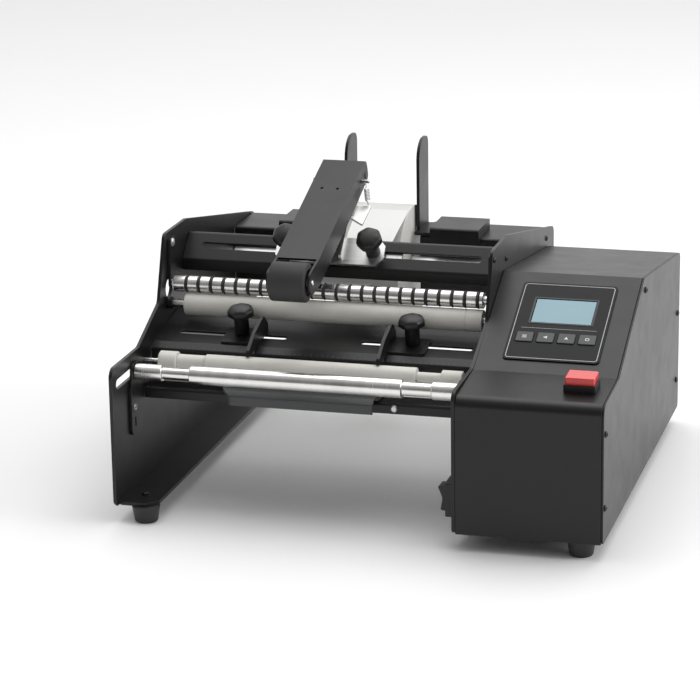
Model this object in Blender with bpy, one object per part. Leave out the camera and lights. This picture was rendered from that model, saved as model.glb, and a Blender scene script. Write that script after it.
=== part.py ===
"""Benchtop label applicator for round containers.

Two bent side plates carry the rollers, the deck, the slotted cross bar and the label roll.
A sprung pressure arm rides along the bar, and a control box stands against the right plate.

Shapes are written in millimetres as (x, depth, height): x runs to the right, depth runs from
the front faces to the rear, and height is measured from the bench.
"""

import math

import bmesh
import bpy
from mathutils import Matrix, Vector
from mathutils.geometry import tessellate_polygon

MM = 0.001
GAP = 0.3

# Overall size
HALF_WIDTH = 217.3
DEPTH = 424.0
BOX_FLOOR = 12.0
BENCH = -3.0

# Side plates
PLATE_T = 3.0
LEFT_OUTER = -HALF_WIDTH
LEFT_INNER = LEFT_OUTER + PLATE_T
RIGHT_INNER = 86.8
RIGHT_OUTER = RIGHT_INNER + PLATE_T
BAY_LEFT = LEFT_INNER + GAP
BAY_RIGHT = RIGHT_INNER - GAP
PLATE_OUTLINE = (
    (0.0, BOX_FLOOR, 5.0),
    (0.0, 138.0, 9.0),
    (72.0, 138.0, 12.0),
    (131.0, 163.0, 8.0),
    (152.0, 222.0, 7.0),
    (213.0, 222.0, 12.0),
    (DEPTH, 179.5, 8.0),
    (DEPTH, BOX_FLOOR, 5.0),
)
FLANGE_WIDTH = 36.3
SLOT_FRONT = 14.5
SLOT_REAR = 68.5
SLOT_RADIUS = 4.5

# Rollers: (depth, height) of each axis
FRONT_AXIS = (55.0, 121.0)
SUPPORT_AXIS = (85.0, 123.0)
DRIVE_AXIS = (155.0, 157.0)
IDLER_AXIS = (160.0, 174.5)
SPINDLE_AXIS = (360.0, 148.0)
ROLLER_RADIUS = 8.3
DRIVE_RADIUS = 10.0
IDLER_RADIUS = 7.5
RING_RADIUS = 7.85
RING_PITCH = 11.81
RING_COUNT = 24
SHAFT_RADIUS = 4.0
ROLL_RADIUS = 60.0
ROLL_LEFT = -99.4
ROLL_RIGHT = -35.2

# Deck and bottle stops
DECK_FRONT = (111.0, 133.6)
DECK_REAR = (188.0, 146.5)
DECK_SLOT_DEPTH = 132.0
STOP_SLOT_WIDTH = 6.6
STOP_SLOT_LEFT = (-196.0, -95.0)
STOP_SLOT_RIGHT = (-26.0, 76.0)
STOP_RIGHT_X = 0.3
STOP_LEFT_X = -115.7
STOP_PLATE_WIDTH = 36.0

# Slotted bar: its sloping face runs from BAR_FOLD to BAR_CREST about BAR_CENTRE
BAR_FOLD = (197.0, 187.6)
BAR_CREST = (220.7, 209.5)
BAR_CENTRE = (208.85, 198.55)
BAR_TILT = math.atan2(BAR_CREST[1] - BAR_FOLD[1], BAR_CREST[0] - BAR_FOLD[0])
BAR_SHEET = 2.5
BAR_SLOT = (-198.7, 66.8)
BRACKET_LEFT = -125.7
BRACKET_RIGHT = -23.7
BRACKET_STUDS = (-112.7, -34.0)

# Pressure arm
ARM_LEFT = -99.7
ARM_RIGHT = -59.7
ARM_SHEET = 2.0
ARM_PIVOT = (279.0, 255.0)
WHEEL_AXIS = (95.0, 199.6)
WHEEL_RADIUS = 17.5
ARM_MIDDLE = (ARM_LEFT + ARM_RIGHT) / 2.0
SPRING_PIN = (266.5, 252.4)
SPRING_TOP = (23.7, 266.0, 250.1)
SPRING_FOOT = (27.2, 260.0, 231.5)
EAR_CORNERS = (
    (15.2, 234.0, 226.7),
    (15.2, 252.3, 231.6),
    (29.7, 261.6, 230.5),
    (29.7, 228.8, 221.0),
)

# Knobs
KNOB_RADIUS = 12.3
KNOB_STEM = 17.0
KNOB_LOBES = 7

# Control box
BOX_LEFT = RIGHT_OUTER + GAP
BOX_SHEET = 1.5
COVER_SHEET = 1.7
BOX_PATH = (
    (0.0, BOX_FLOOR, 5.0),
    (0.0, 133.8, 10.0),
    (70.5, 137.7, 8.0),
    (194.8, 193.7, 5.0),
    (401.0, 165.6, 5.0),
    (401.0, BOX_FLOOR, 5.0),
)
PANEL_FOOT = (70.5, 137.7)
PANEL_TILT = math.atan2(56.0, 124.3)
SHELF_TILT = math.atan2(3.9, 70.5)
PANEL_X = (112.1, 196.8)
PANEL_S = (15.8, 120.7)
SCREEN_X = (128.1, 181.3)
SCREEN_S = (66.5, 98.3)
KEY_X = (126.5, 145.0, 163.4, 181.8)
KEY_S = 45.5
KEY_SIZE = (15.0, 12.8)
BUTTON_AT = (190.8, 40.0, 136.0)
BUTTON_SIZE = (25.4, 20.6)
MOTOR_AXIS = (155.0, 88.0)
ROCKER_AT = (84.0, 18.0, 39.5)

FINISHES = {
    "powder_black": ((0.035, 0.036, 0.039), 0.55, 0.0),
    "bright_steel": ((0.62, 0.61, 0.59), 0.22, 1.0),
    "aluminium": ((0.55, 0.55, 0.56), 0.38, 1.0),
    "zinc": ((0.42, 0.43, 0.44), 0.4, 1.0),
    "black_rubber": ((0.018, 0.018, 0.019), 0.75, 0.0),
    "white_rubber": ((0.66, 0.66, 0.63), 0.6, 0.0),
    "black_plastic": ((0.022, 0.022, 0.024), 0.42, 0.0),
    "grey_plastic": ((0.16, 0.17, 0.18), 0.5, 0.0),
    "display_blue": ((0.12, 0.52, 0.68), 0.12, 0.0),
    "button_red": ((0.62, 0.02, 0.015), 0.25, 0.0),
    "label_paper": ((0.82, 0.82, 0.8), 0.65, 0.0),
    "board_green": ((0.02, 0.16, 0.07), 0.45, 0.0),
}


# ---------------------------------------------------------------- outlines


def fillet(corners, closed=True, steps=3):
    """Line through (a, b, radius) corners, with each corner rounded."""
    line = []
    count = len(corners)
    for i, (a, b, radius) in enumerate(corners):
        ends = not closed and i in (0, count - 1)
        if ends or radius <= 0.0:
            line.append((a, b))
            continue
        here = Vector((a, b))
        back = (Vector(corners[i - 1][:2]) - here).normalized()
        ahead = (Vector(corners[(i + 1) % count][:2]) - here).normalized()
        half = back.angle(ahead) / 2.0
        reach = radius / math.tan(half)
        centre = here + (back + ahead).normalized() * (radius / math.sin(half))
        start = here + back * reach - centre
        sweep = start.angle_signed(here + ahead * reach - centre)
        for step in range(steps + 1):
            turned = Matrix.Rotation(-sweep * step / steps, 2) @ start
            line.append(tuple(centre + turned))
    return line


def offset_line(line, distance):
    """Mitred copy of an open line, moved to its left."""
    normals = []
    for (a0, b0), (a1, b1) in zip(line, line[1:]):
        run = math.hypot(a1 - a0, b1 - b0)
        normals.append(Vector(((b0 - b1) / run, (a1 - a0) / run)))
    moved = []
    for i, (a, b) in enumerate(line):
        before = normals[max(i - 1, 0)]
        after = normals[min(i, len(normals) - 1)]
        mitre = (before + after) / (1.0 + before.dot(after))
        moved.append((a + mitre.x * distance, b + mitre.y * distance))
    return moved


def bent_sheet(path, thickness, bend):
    """Closed section of a bent sheet whose outer face follows the path, metal on its right."""
    line = fillet([(*point, bend)[:3] for point in path], closed=False)
    return line + offset_line(line, -thickness)[::-1]


def circle(a, b, radius, segments=20):
    turn = 2.0 * math.pi / segments
    return [
        (a + radius * math.cos(turn * i), b + radius * math.sin(turn * i))
        for i in range(segments)
    ]


def stadium(a0, a1, b, radius, segments=6):
    """Slot outline from a0 to a1 between its end centres, along the first axis."""
    points = []
    for centre, first in ((a1, -0.5), (a0, 0.5)):
        for i in range(segments + 1):
            turn = math.pi * (first + i / segments)
            points.append((centre + radius * math.cos(turn), b + radius * math.sin(turn)))
    return points


def rectangle(a0, a1, b0, b1, radius=0.0):
    corners = [(a0, b0, radius), (a1, b0, radius), (a1, b1, radius), (a0, b1, radius)]
    return fillet(corners)


# ---------------------------------------------------------------- solids


def solid(vertices, faces):
    """Object with the given millimetre points, its faces turned outwards."""
    mesh = bpy.data.meshes.new("solid")
    mesh.from_pydata([Vector(v) * MM for v in vertices], [], faces)
    edit = bmesh.new()
    edit.from_mesh(mesh)
    bmesh.ops.recalc_face_normals(edit, faces=edit.faces)
    edit.to_mesh(mesh)
    edit.free()
    made = bpy.data.objects.new("solid", mesh)
    bpy.context.scene.collection.objects.link(made)
    return made


def prism(outline, low, high, axis="x", holes=()):
    """Outline pushed along an axis. Outlines are (depth, height), (x, depth) or (x, height)."""
    place = {
        "x": lambda a, b, c: (c, a, b),
        "z": lambda a, b, c: (a, b, c),
        "y": lambda a, b, c: (a, c, b),
    }[axis]
    loops = [outline, *holes]
    flat = [point for loop in loops for point in loop]
    count = len(flat)
    vertices = [place(a, b, c) for c in (low, high) for a, b in flat]
    if holes:
        caps = tessellate_polygon([[Vector((a, b, 0.0)) for a, b in loop] for loop in loops])
    else:
        caps = [tuple(range(count))]
    faces = [tuple(cap) for cap in caps]
    faces += [tuple(i + count for i in reversed(cap)) for cap in caps]
    start = 0
    for loop in loops:
        size = len(loop)
        for i in range(size):
            here = start + i
            following = start + (i + 1) % size
            faces.append((here, following, following + count, here + count))
        start += size
    return solid(vertices, faces)


def block(x0, x1, y0, y1, z0, z1):
    return prism(rectangle(x0, x1, y0, y1), z0, z1, "z")


def lathe(profile, axis, segments=24, closed=False):
    """Solid of revolution about a line along x. The profile holds (x, radius) points."""
    depth, height = axis
    turn = 2.0 * math.pi / segments
    vertices = []
    for x, radius in profile:
        for i in range(segments):
            across = radius * math.cos(turn * i)
            vertices.append((x, depth + across, height + radius * math.sin(turn * i)))
    rings = len(profile)
    faces = []
    for ring in range(rings if closed else rings - 1):
        near = ring * segments
        far = (ring + 1) % rings * segments
        for i in range(segments):
            j = (i + 1) % segments
            faces.append((near + i, near + j, far + j, far + i))
    if not closed:
        faces.append(tuple(range(segments)))
        faces.append(tuple(range((rings - 1) * segments, rings * segments)))
    return solid(vertices, faces)


def upright_lathe(profile, x, depth, segments=24):
    """Solid of revolution about a vertical line. The profile holds (height, radius) points."""
    turned = lathe([(z, radius) for z, radius in profile], (0.0, 0.0), segments)
    swap = Matrix(((0, 1, 0, x * MM), (0, 0, 1, depth * MM), (1, 0, 0, 0), (0, 0, 0, 1)))
    turned.data.transform(swap)
    return turned


def tilt(made, centre, angle):
    """Turn a solid about the line along x through (depth, height)."""
    pivot = Vector((0.0, centre[0], centre[1])) * MM
    turn = Matrix.Translation(pivot) @ Matrix.Rotation(angle, 4, "X")
    made.data.transform(turn @ Matrix.Translation(-pivot))
    return made


def combine(base, others, operation):
    """Boolean result baked into the base object. The other objects are used up."""
    for other in others:
        step = base.modifiers.new("combine", "BOOLEAN")
        step.operation = operation
        step.solver = "EXACT"
        step.object = other
    bpy.context.view_layer.update()
    graph = bpy.context.evaluated_depsgraph_get()
    baked = bpy.data.meshes.new_from_object(base.evaluated_get(graph))
    base.modifiers.clear()
    base.data = baked
    for other in others:
        bpy.data.objects.remove(other)
    return base


def cut(base, *cutters):
    return combine(base, cutters, "DIFFERENCE")


def fuse(base, *others):
    return combine(base, others, "UNION")


def finish(made, name, look, origin=(0.0, 0.0, 0.0)):
    """Name the solid, move its origin, and give it its own material."""
    made.name = name
    made.data.name = name
    here = Vector(origin) * MM
    made.data.transform(Matrix.Translation(-here))
    made.location = here - Vector((0.0, DEPTH / 2.0, BENCH)) * MM
    colour, roughness, metallic = FINISHES[look]
    material = bpy.data.materials.new(f"{name}_{look}")
    material.use_nodes = True
    shader = material.node_tree.nodes["Principled BSDF"]
    shader.inputs["Base Color"].default_value = (*colour, 1.0)
    shader.inputs["Roughness"].default_value = roughness
    shader.inputs["Metallic"].default_value = metallic
    made.data.materials.clear()
    made.data.materials.append(material)
    made.data.polygons.foreach_set("use_smooth", [True] * len(made.data.polygons))
    made.data.set_sharp_from_angle(angle=math.radians(32.0))
    return made


# ---------------------------------------------------------------- frame


def side_plates():
    outline = fillet(PLATE_OUTLINE)
    journal = stadium(SLOT_FRONT, SLOT_REAR, FRONT_AXIS[1], SLOT_RADIUS)
    support = circle(*SUPPORT_AXIS, 2.4, 12)
    window = circle(158.0, 170.0, 9.0)
    left = prism(outline, LEFT_OUTER, LEFT_INNER, "x", (journal, support, window))
    inner = LEFT_OUTER + FLANGE_WIDTH
    foot = (
        (LEFT_OUTER + 1.0, 8.0),
        (inner - 8.0, 8.0),
        (inner, 18.0),
        (inner, DEPTH - 10.0),
        (LEFT_OUTER + 1.0, DEPTH - 10.0),
    )
    fuse(left, prism(foot, BOX_FLOOR, BOX_FLOOR + PLATE_T, "z"))
    section = (
        (LEFT_OUTER, BOX_FLOOR, 6.0),
        (0.0, BOX_FLOOR, 0.0),
        (0.0, 230.0, 0.0),
        (LEFT_OUTER, 230.0, 0.0),
    )
    combine(left, [prism(fillet(section), -5.0, DEPTH + 5.0, "y")], "INTERSECT")
    finish(left, "left_side_plate", "powder_black", (LEFT_INNER, 212.0, BOX_FLOOR))
    drive = circle(*DRIVE_AXIS, SHAFT_RADIUS + 0.6)
    rocker = rectangle(11.0, 25.0, 27.5, 51.5)
    right = prism(outline, RIGHT_INNER, RIGHT_OUTER, "x", (journal, support, drive, rocker))
    finish(right, "right_side_plate", "powder_black", (RIGHT_INNER, 212.0, BOX_FLOOR))


def feet():
    places = {
        "foot_front_left": (-192.5, 15.0),
        "foot_rear_left": (-192.5, 402.0),
        "foot_front_right": (196.0, 16.0),
        "foot_rear_right": (196.0, 384.0),
    }
    for name, (x, depth) in places.items():
        profile = ((BENCH, 9.2), (BENCH + 1.0, 10.2), (BOX_FLOOR - GAP, 12.5))
        made = upright_lathe(profile, x, depth)
        finish(made, name, "black_rubber", (x, depth, BENCH))


def slotted_bar():
    path = ((BAR_FOLD[0], 177.5), BAR_FOLD, BAR_CREST, (230.0, 201.0))
    bar = prism(bent_sheet(path, BAR_SHEET, 4.0), BAY_LEFT, BAY_RIGHT)
    radius = 3.3
    slot = stadium(BAR_SLOT[0] + radius, BAR_SLOT[1] - radius, 0.0, radius)
    cutter = prism([(x, s + BAR_CENTRE[0]) for x, s in slot], BAR_CENTRE[1] - 5.0, BAR_CENTRE[1] + 5.0, "z")
    tilt(cutter, BAR_CENTRE, BAR_TILT)
    cut(bar, cutter)
    finish(bar, "slotted_cross_bar", "powder_black", (0.0, *BAR_CENTRE))


def rear_shelves():
    path = ((357.0, 168.0), (357.0, 180.0), (418.0, 180.0), (418.0, 168.0))
    section = bent_sheet(path, 2.0, 3.0)
    spans = {"rear_shelf_left": (BAY_LEFT, -104.7), "rear_shelf_right": (-27.7, BAY_RIGHT)}
    for name, (low, high) in spans.items():
        made = prism(section, low, high)
        finish(made, name, "powder_black", ((low + high) / 2.0, 385.0, 180.0))


def deck():
    path = ((103.0, 112.0), (103.0, 128.7), DECK_FRONT, DECK_REAR, (DECK_REAR[0], 130.0))
    plate = prism(bent_sheet(path, 2.0, 3.0), BAY_LEFT, BAY_RIGHT)
    radius = STOP_SLOT_WIDTH / 2.0
    for low, high in (STOP_SLOT_LEFT, STOP_SLOT_RIGHT):
        slot = stadium(low + radius, high - radius, DECK_SLOT_DEPTH, radius)
        cut(plate, prism(slot, 128.0, 148.0, "z"))
    finish(plate, "deck_plate", "powder_black", (0.0, *DECK_FRONT))


def lower_beam_and_tray():
    channel = ((82.0, 88.5), (82.0, 98.5), (106.0, 98.5), (106.0, 88.5))
    beam = prism(bent_sheet(channel, 2.0, 3.0), BAY_LEFT, BAY_RIGHT)
    finish(beam, "lower_cross_beam", "powder_black", (0.0, 94.0, 98.5))
    path = ((60.0, 93.6), (60.0, 102.0), (66.0, 106.0), (78.0, 106.0), (84.0, 100.3), (104.0, 100.3))
    tray = prism(bent_sheet(path, 1.5, 2.2), -137.5, 2.5)
    keep = ((-137.5, 59.0, 17.0), (3.0, 59.0, 4.0), (3.0, 110.0, 0.0), (-137.5, 110.0, 0.0))
    combine(tray, [prism(fillet(keep, steps=5), 85.0, 115.0, "z")], "INTERSECT")
    finish(tray, "front_tray", "grey_plastic", (-70.0, 60.0, 100.0))


# ---------------------------------------------------------------- rollers


def carriages():
    """Plates that carry the front roller along the slots in the side plates."""
    outline = fillet(
        (
            (41.0, 65.0, 5.0),
            (41.0, 108.0, 5.0),
            (47.0, 129.0, 7.0),
            (63.0, 129.0, 7.0),
            (69.0, 108.0, 5.0),
            (69.0, 65.0, 5.0),
        )
    )
    holes = (circle(*FRONT_AXIS, SHAFT_RADIUS + 0.3), circle(48.5, 90.0, 2.5, 12))
    spans = {"carriage_left": (BAY_LEFT, BAY_LEFT + 2.2), "carriage_right": (BAY_RIGHT - 2.2, BAY_RIGHT)}
    for name, (low, high) in spans.items():
        made = prism(outline, low, high, "x", holes)
        finish(made, name, "powder_black", (low, *FRONT_AXIS))


def stepped(steps):
    """Profile of a turned bar from (x0, x1, radius) steps that follow one another."""
    profile = []
    for low, high, radius in steps:
        profile += [(low, radius), (high, radius)]
    return profile


def front_roller():
    steps = (
        (LEFT_OUTER + 0.5, BAY_LEFT + 2.6, SHAFT_RADIUS),
        (BAY_LEFT + 2.6, -186.4, 7.4),
        (-186.4, -160.5, 5.0),
        (-160.5, 31.5, ROLLER_RADIUS),
        (31.5, 58.1, 5.0),
        (58.1, BAY_RIGHT - 2.6, 8.3),
        (BAY_RIGHT - 2.6, RIGHT_OUTER - 0.5, SHAFT_RADIUS),
    )
    made = lathe(stepped(steps), FRONT_AXIS, 28)
    finish(made, "front_roller", "bright_steel", (0.0, *FRONT_AXIS))


def support_roller():
    steps = (
        (LEFT_OUTER + 0.5, -199.1, 2.0),
        (-199.1, -182.3, 9.2),
        (-182.3, -156.1, 7.0),
        (-156.1, 36.6, ROLLER_RADIUS),
        (36.6, 59.0, 4.4),
        (59.0, 78.0, 7.6),
        (78.0, RIGHT_OUTER - 0.5, 2.0),
    )
    made = lathe(stepped(steps), SUPPORT_AXIS, 28)
    finish(made, "support_roller", "white_rubber", (0.0, *SUPPORT_AXIS))


def drive_roller():
    steps = (
        (BAY_LEFT, -196.7, SHAFT_RADIUS),
        (-196.7, 65.2, DRIVE_RADIUS),
        (65.2, 65.6, DRIVE_RADIUS - 0.4),
        (65.6, 80.5, DRIVE_RADIUS),
        (80.5, 103.0, SHAFT_RADIUS),
    )
    made = lathe(stepped(steps), DRIVE_AXIS, 28)
    finish(made, "drive_roller", "white_rubber", (0.0, *DRIVE_AXIS))
    outer = 5.5
    bore = SHAFT_RADIUS + 0.3
    ring = ((BAY_LEFT, bore), (BAY_LEFT, outer), (-209.0, outer), (-209.0, bore))
    bearing = lathe(ring, DRIVE_AXIS, 24, closed=True)
    finish(bearing, "drive_bearing_left", "zinc", (-210.0, *DRIVE_AXIS))


def idler_roller():
    """Steel idler with one rubber ring at each pitch."""
    low = -209.0
    high = 80.0
    profile = [(BAY_LEFT + GAP, SHAFT_RADIUS), (low, SHAFT_RADIUS), (low, IDLER_RADIUS)]
    for i in range(RING_COUNT):
        centre = low + 12.5 + RING_PITCH * i
        profile += [(centre - 1.4, IDLER_RADIUS), (centre, RING_RADIUS), (centre + 1.4, IDLER_RADIUS)]
    profile += [(high, IDLER_RADIUS), (high, SHAFT_RADIUS), (BAY_RIGHT - GAP, SHAFT_RADIUS)]
    made = lathe(profile, IDLER_AXIS, 16)
    finish(made, "idler_roller", "bright_steel", (0.0, *IDLER_AXIS))


def idler_hangers():
    outline = fillet(
        (
            (156.0, 168.5, 6.0),
            (156.5, 190.0, 12.0),
            (158.0, 216.0, 5.0),
            (176.0, 216.0, 5.0),
            (176.0, 203.0, 5.0),
            (168.5, 190.0, 12.0),
            (168.5, 168.5, 6.0),
        )
    )
    hole = circle(*IDLER_AXIS, SHAFT_RADIUS + 0.3, 20)
    spans = {
        "idler_hanger_left": (BAY_LEFT, BAY_LEFT + 2.5),
        "idler_hanger_right": (BAY_RIGHT - 2.5, BAY_RIGHT),
    }
    for name, (low, high) in spans.items():
        made = prism(outline, low, high, "x", (hole,))
        finish(made, name, "powder_black", (low, *IDLER_AXIS))


# ---------------------------------------------------------------- bottle stops


def knob(name, x, centre, angle, base, reach):
    """Lobed clamping knob. Its stud starts at -reach below the surface and its stem at base."""
    rings = (
        (-reach, 3.0, 0.0),
        (base, 3.0, 0.0),
        (base, 6.5, 0.0),
        (base + KNOB_STEM, 6.5, 0.0),
        (base + KNOB_STEM, KNOB_RADIUS - 0.6, 0.03),
        (base + KNOB_STEM + 5.5, KNOB_RADIUS - 0.6, 0.03),
        (base + KNOB_STEM + 8.0, 9.8, 0.025),
        (base + KNOB_STEM + 9.6, 5.0, 0.0),
    )
    segments = KNOB_LOBES * 4
    turn = 2.0 * math.pi / segments
    vertices = []
    for level, radius, wave in rings:
        for i in range(segments):
            reachout = radius * (1.0 + wave * math.cos(KNOB_LOBES * turn * i))
            across = reachout * math.cos(turn * i)
            along = reachout * math.sin(turn * i)
            vertices.append((x + across, centre[0] + along, centre[1] + level))
    faces = [tuple(range(segments)), tuple(range(len(vertices) - segments, len(vertices)))]
    for ring in range(len(rings) - 1):
        near = ring * segments
        for i in range(segments):
            j = (i + 1) % segments
            faces.append((near + i, near + j, near + segments + j, near + segments + i))
    made = tilt(solid(vertices, faces), centre, angle)
    finish(made, name, "black_plastic", (x, *centre))


def bottle_stop(side, blade_x, direction):
    """Upright blade on a base plate that slides along the deck slot."""
    tilt_angle = math.atan2(DECK_REAR[1] - DECK_FRONT[1], DECK_REAR[0] - DECK_FRONT[0])
    centre = (DECK_SLOT_DEPTH, DECK_FRONT[1] + (DECK_SLOT_DEPTH - DECK_FRONT[0]) * math.tan(tilt_angle))
    far = blade_x + direction * STOP_PLATE_WIDTH
    stud_x = blade_x + direction * 21.0
    low, high = sorted((blade_x, far))
    depth, height = centre
    hole = circle(stud_x, depth, 3.3, 16)
    sole = rectangle(low, high, depth - 20.0, depth + 11.0, 2.0)
    plate = prism(sole, height + GAP, height + 2.3, "z", (hole,))
    blade = fillet(
        (
            (depth - 50.0, height + 3.2, 0.0),
            (depth - 48.0, height + 8.0, 4.0),
            (depth - 26.0, height + 16.5, 12.0),
            (depth + 2.0, height + 20.0, 8.0),
            (depth + 12.0, height + 8.0, 4.0),
            (depth + 11.0, height + GAP, 0.0),
            (depth - 20.0, height + GAP, 0.0),
        )
    )
    low, high = sorted((blade_x, blade_x + direction * 3.0))
    fuse(plate, prism(blade, low, high))
    tilt(plate, centre, tilt_angle)
    finish(plate, f"bottle_stop_{side}", "powder_black", (stud_x, *centre))
    knob(f"stop_knob_{side}", stud_x, centre, tilt_angle, 2.6, 8.0)


# ---------------------------------------------------------------- pressure arm


def on_bar(made):
    """Turn a solid drawn flat over BAR_CENTRE onto the sloping face of the bar."""
    return tilt(made, BAR_CENTRE, BAR_TILT)


def bracket_cheek(low, high):
    outline = fillet(
        (
            (201.3, 193.5, 0.0),
            (196.9, 198.3, 3.0),
            (222.0, 222.0, 8.0),
            (262.0, 250.0, 8.0),
            (274.0, 262.0, 6.0),
            (284.0, 262.0, 6.0),
            (284.0, 248.0, 6.0),
            (268.0, 238.0, 6.0),
            (250.0, 226.0, 6.0),
            (224.0, 214.0, 3.0),
            (216.5, 207.5, 0.0),
        )
    )
    return prism(outline, low, high, "x", (circle(*ARM_PIVOT, 3.3, 16),))


def bracket_ear(side):
    """Sloping tab beside the arm that holds the foot of a spring."""
    top = [(ARM_MIDDLE + side * across, depth, height) for across, depth, height in EAR_CORNERS]
    bottom = [(x, depth, height - 2.0) for x, depth, height in top]
    faces = [(0, 1, 2, 3), (7, 6, 5, 4)]
    faces += [(i, (i + 1) % 4, (i + 1) % 4 + 4, i + 4) for i in range(4)]
    return solid(top + bottom, faces)


def arm_bracket():
    depth, height = BAR_CENTRE
    corner = 6.0
    half = 14.0
    outline = fillet(
        (
            (BRACKET_LEFT, depth - half + corner, 0.0),
            (BRACKET_LEFT + corner, depth - half, 0.0),
            (BRACKET_RIGHT - corner, depth - half, 0.0),
            (BRACKET_RIGHT, depth - half + corner, 0.0),
            (BRACKET_RIGHT, depth + half - corner, 0.0),
            (BRACKET_RIGHT - corner, depth + half, 0.0),
            (BRACKET_LEFT + corner, depth + half, 0.0),
            (BRACKET_LEFT, depth + half - corner, 0.0),
        )
    )
    holes = [circle(x, depth, 3.3, 16) for x in BRACKET_STUDS]
    base = on_bar(prism(outline, height + GAP, height + 3.3, "z", holes))
    left = bracket_cheek(ARM_LEFT + ARM_SHEET + 0.5, ARM_LEFT + ARM_SHEET + 3.0)
    right = bracket_cheek(ARM_RIGHT - ARM_SHEET - 3.0, ARM_RIGHT - ARM_SHEET - 0.5)
    fuse(base, left, right, bracket_ear(-1.0), bracket_ear(1.0))
    finish(base, "arm_bracket", "aluminium", (-79.7, *BAR_CENTRE))


def clamp_nut():
    depth, height = BAR_CENTRE
    holes = [circle(x, depth, 3.3, 16) for x in BRACKET_STUDS]
    top = height - BAR_SHEET - GAP
    strip = prism(rectangle(-126.0, -8.0, depth - 5.0, depth + 5.0), top - 3.0, top, "z", holes)
    finish(on_bar(strip), "bracket_clamp_nut", "zinc", (-79.7, *BAR_CENTRE))


def arm_flange(low, high):
    outline = fillet(
        (
            (117.0, 214.9, 2.0),
            (282.0, 270.8, 8.0),
            (289.5, 251.5, 5.0),
            (245.0, 234.5, 20.0),
            (121.0, 192.0, 10.0),
            (89.0, 187.5, 9.0),
            (84.5, 208.0, 9.0),
        )
    )
    holes = (circle(*WHEEL_AXIS, 2.8, 14), circle(*ARM_PIVOT, 3.3, 16))
    return prism(outline, low, high, "x", holes)


def pressure_arm():
    slope = math.atan2(56.9, 168.0)
    along = (math.cos(slope), math.sin(slope))
    front = (118.0, 215.2)
    rear = (front[0] + 168.0 * along[0], front[1] + 168.0 * along[1])
    under = (along[1] * ARM_SHEET, -along[0] * ARM_SHEET)
    section = (
        front,
        rear,
        (rear[0] + under[0], rear[1] + under[1]),
        (front[0] + under[0], front[1] + under[1]),
    )
    top = prism(section, ARM_LEFT, ARM_RIGHT)
    left = arm_flange(ARM_LEFT, ARM_LEFT + ARM_SHEET)
    right = arm_flange(ARM_RIGHT - ARM_SHEET, ARM_RIGHT)
    pins = [
        lathe(((ARM_LEFT - 7.0, 1.8), (ARM_LEFT + 1.0, 1.8)), SPRING_PIN, 12),
        lathe(((ARM_RIGHT - 1.0, 1.8), (ARM_RIGHT + 7.0, 1.8)), SPRING_PIN, 12),
    ]
    fuse(top, left, right, *pins)
    finish(top, "pressure_arm", "powder_black", (ARM_MIDDLE, *ARM_PIVOT))


def arm_fittings():
    pin = stepped(((-100.4, -59.0, 3.0),))
    finish(lathe(pin, ARM_PIVOT, 20), "arm_pivot_pin", "bright_steel", (-79.7, *ARM_PIVOT))
    axle = stepped(((-100.5, -58.9, 2.5),))
    finish(lathe(axle, WHEEL_AXIS, 20), "wheel_axle", "bright_steel", (-79.7, *WHEEL_AXIS))
    low = -96.2
    high = -63.2
    edge = 1.5
    tyre = (
        (low, 2.9),
        (low, WHEEL_RADIUS - edge),
        (low + edge, WHEEL_RADIUS),
        (high - edge, WHEEL_RADIUS),
        (high, WHEEL_RADIUS - edge),
        (high, 2.9),
    )
    wheel = lathe(tyre, WHEEL_AXIS, 36, closed=True)
    finish(wheel, "pressure_wheel", "black_rubber", (-79.7, *WHEEL_AXIS))


def spring_path(top, foot, coil, pitch, turns, steps):
    """Line from one hook, round a close-wound coil, to the other hook."""
    along = (foot - top).normalized()
    side = along.orthogonal().normalized()
    other = along.cross(side)
    wound = pitch * turns
    begin = ((foot - top).length - wound) / 2.0
    path = [top, top + along * (begin - 1.6)]
    for i in range(turns * steps + 1):
        turn = 2.0 * math.pi * i / steps
        reach = (side * math.cos(turn) + other * math.sin(turn)) * coil
        path.append(top + along * (begin + pitch * i / steps) + reach)
    return path + [foot - along * (begin - 1.6), foot]


def wire(path, radius, sides):
    """Round wire along a path of points."""
    vertices = []
    across = (path[1] - path[0]).orthogonal().normalized()
    for i, point in enumerate(path):
        before = path[max(i - 1, 0)]
        after = path[min(i + 1, len(path) - 1)]
        along = (after - before).normalized()
        across = (across - along * across.dot(along)).normalized()
        other = along.cross(across)
        for side in range(sides):
            turn = 2.0 * math.pi * side / sides
            vertices.append(point + (across * math.cos(turn) + other * math.sin(turn)) * radius)
    faces = [tuple(range(sides)), tuple(range(len(vertices) - sides, len(vertices)))]
    for i in range(len(path) - 1):
        for side in range(sides):
            here = i * sides + side
            beside = i * sides + (side + 1) % sides
            faces.append((here, beside, beside + sides, here + sides))
    return solid(vertices, faces)


def arm_springs():
    for name, side in (("left", -1.0), ("right", 1.0)):
        top = Vector((ARM_MIDDLE + side * SPRING_TOP[0], *SPRING_TOP[1:]))
        foot = Vector((ARM_MIDDLE + side * SPRING_FOOT[0], *SPRING_FOOT[1:]))
        made = wire(spring_path(top, foot, 2.3, 1.35, 8, 8), 0.5, 5)
        finish(made, f"arm_spring_{name}", "bright_steel", tuple(foot))


# ---------------------------------------------------------------- label roll


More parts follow.
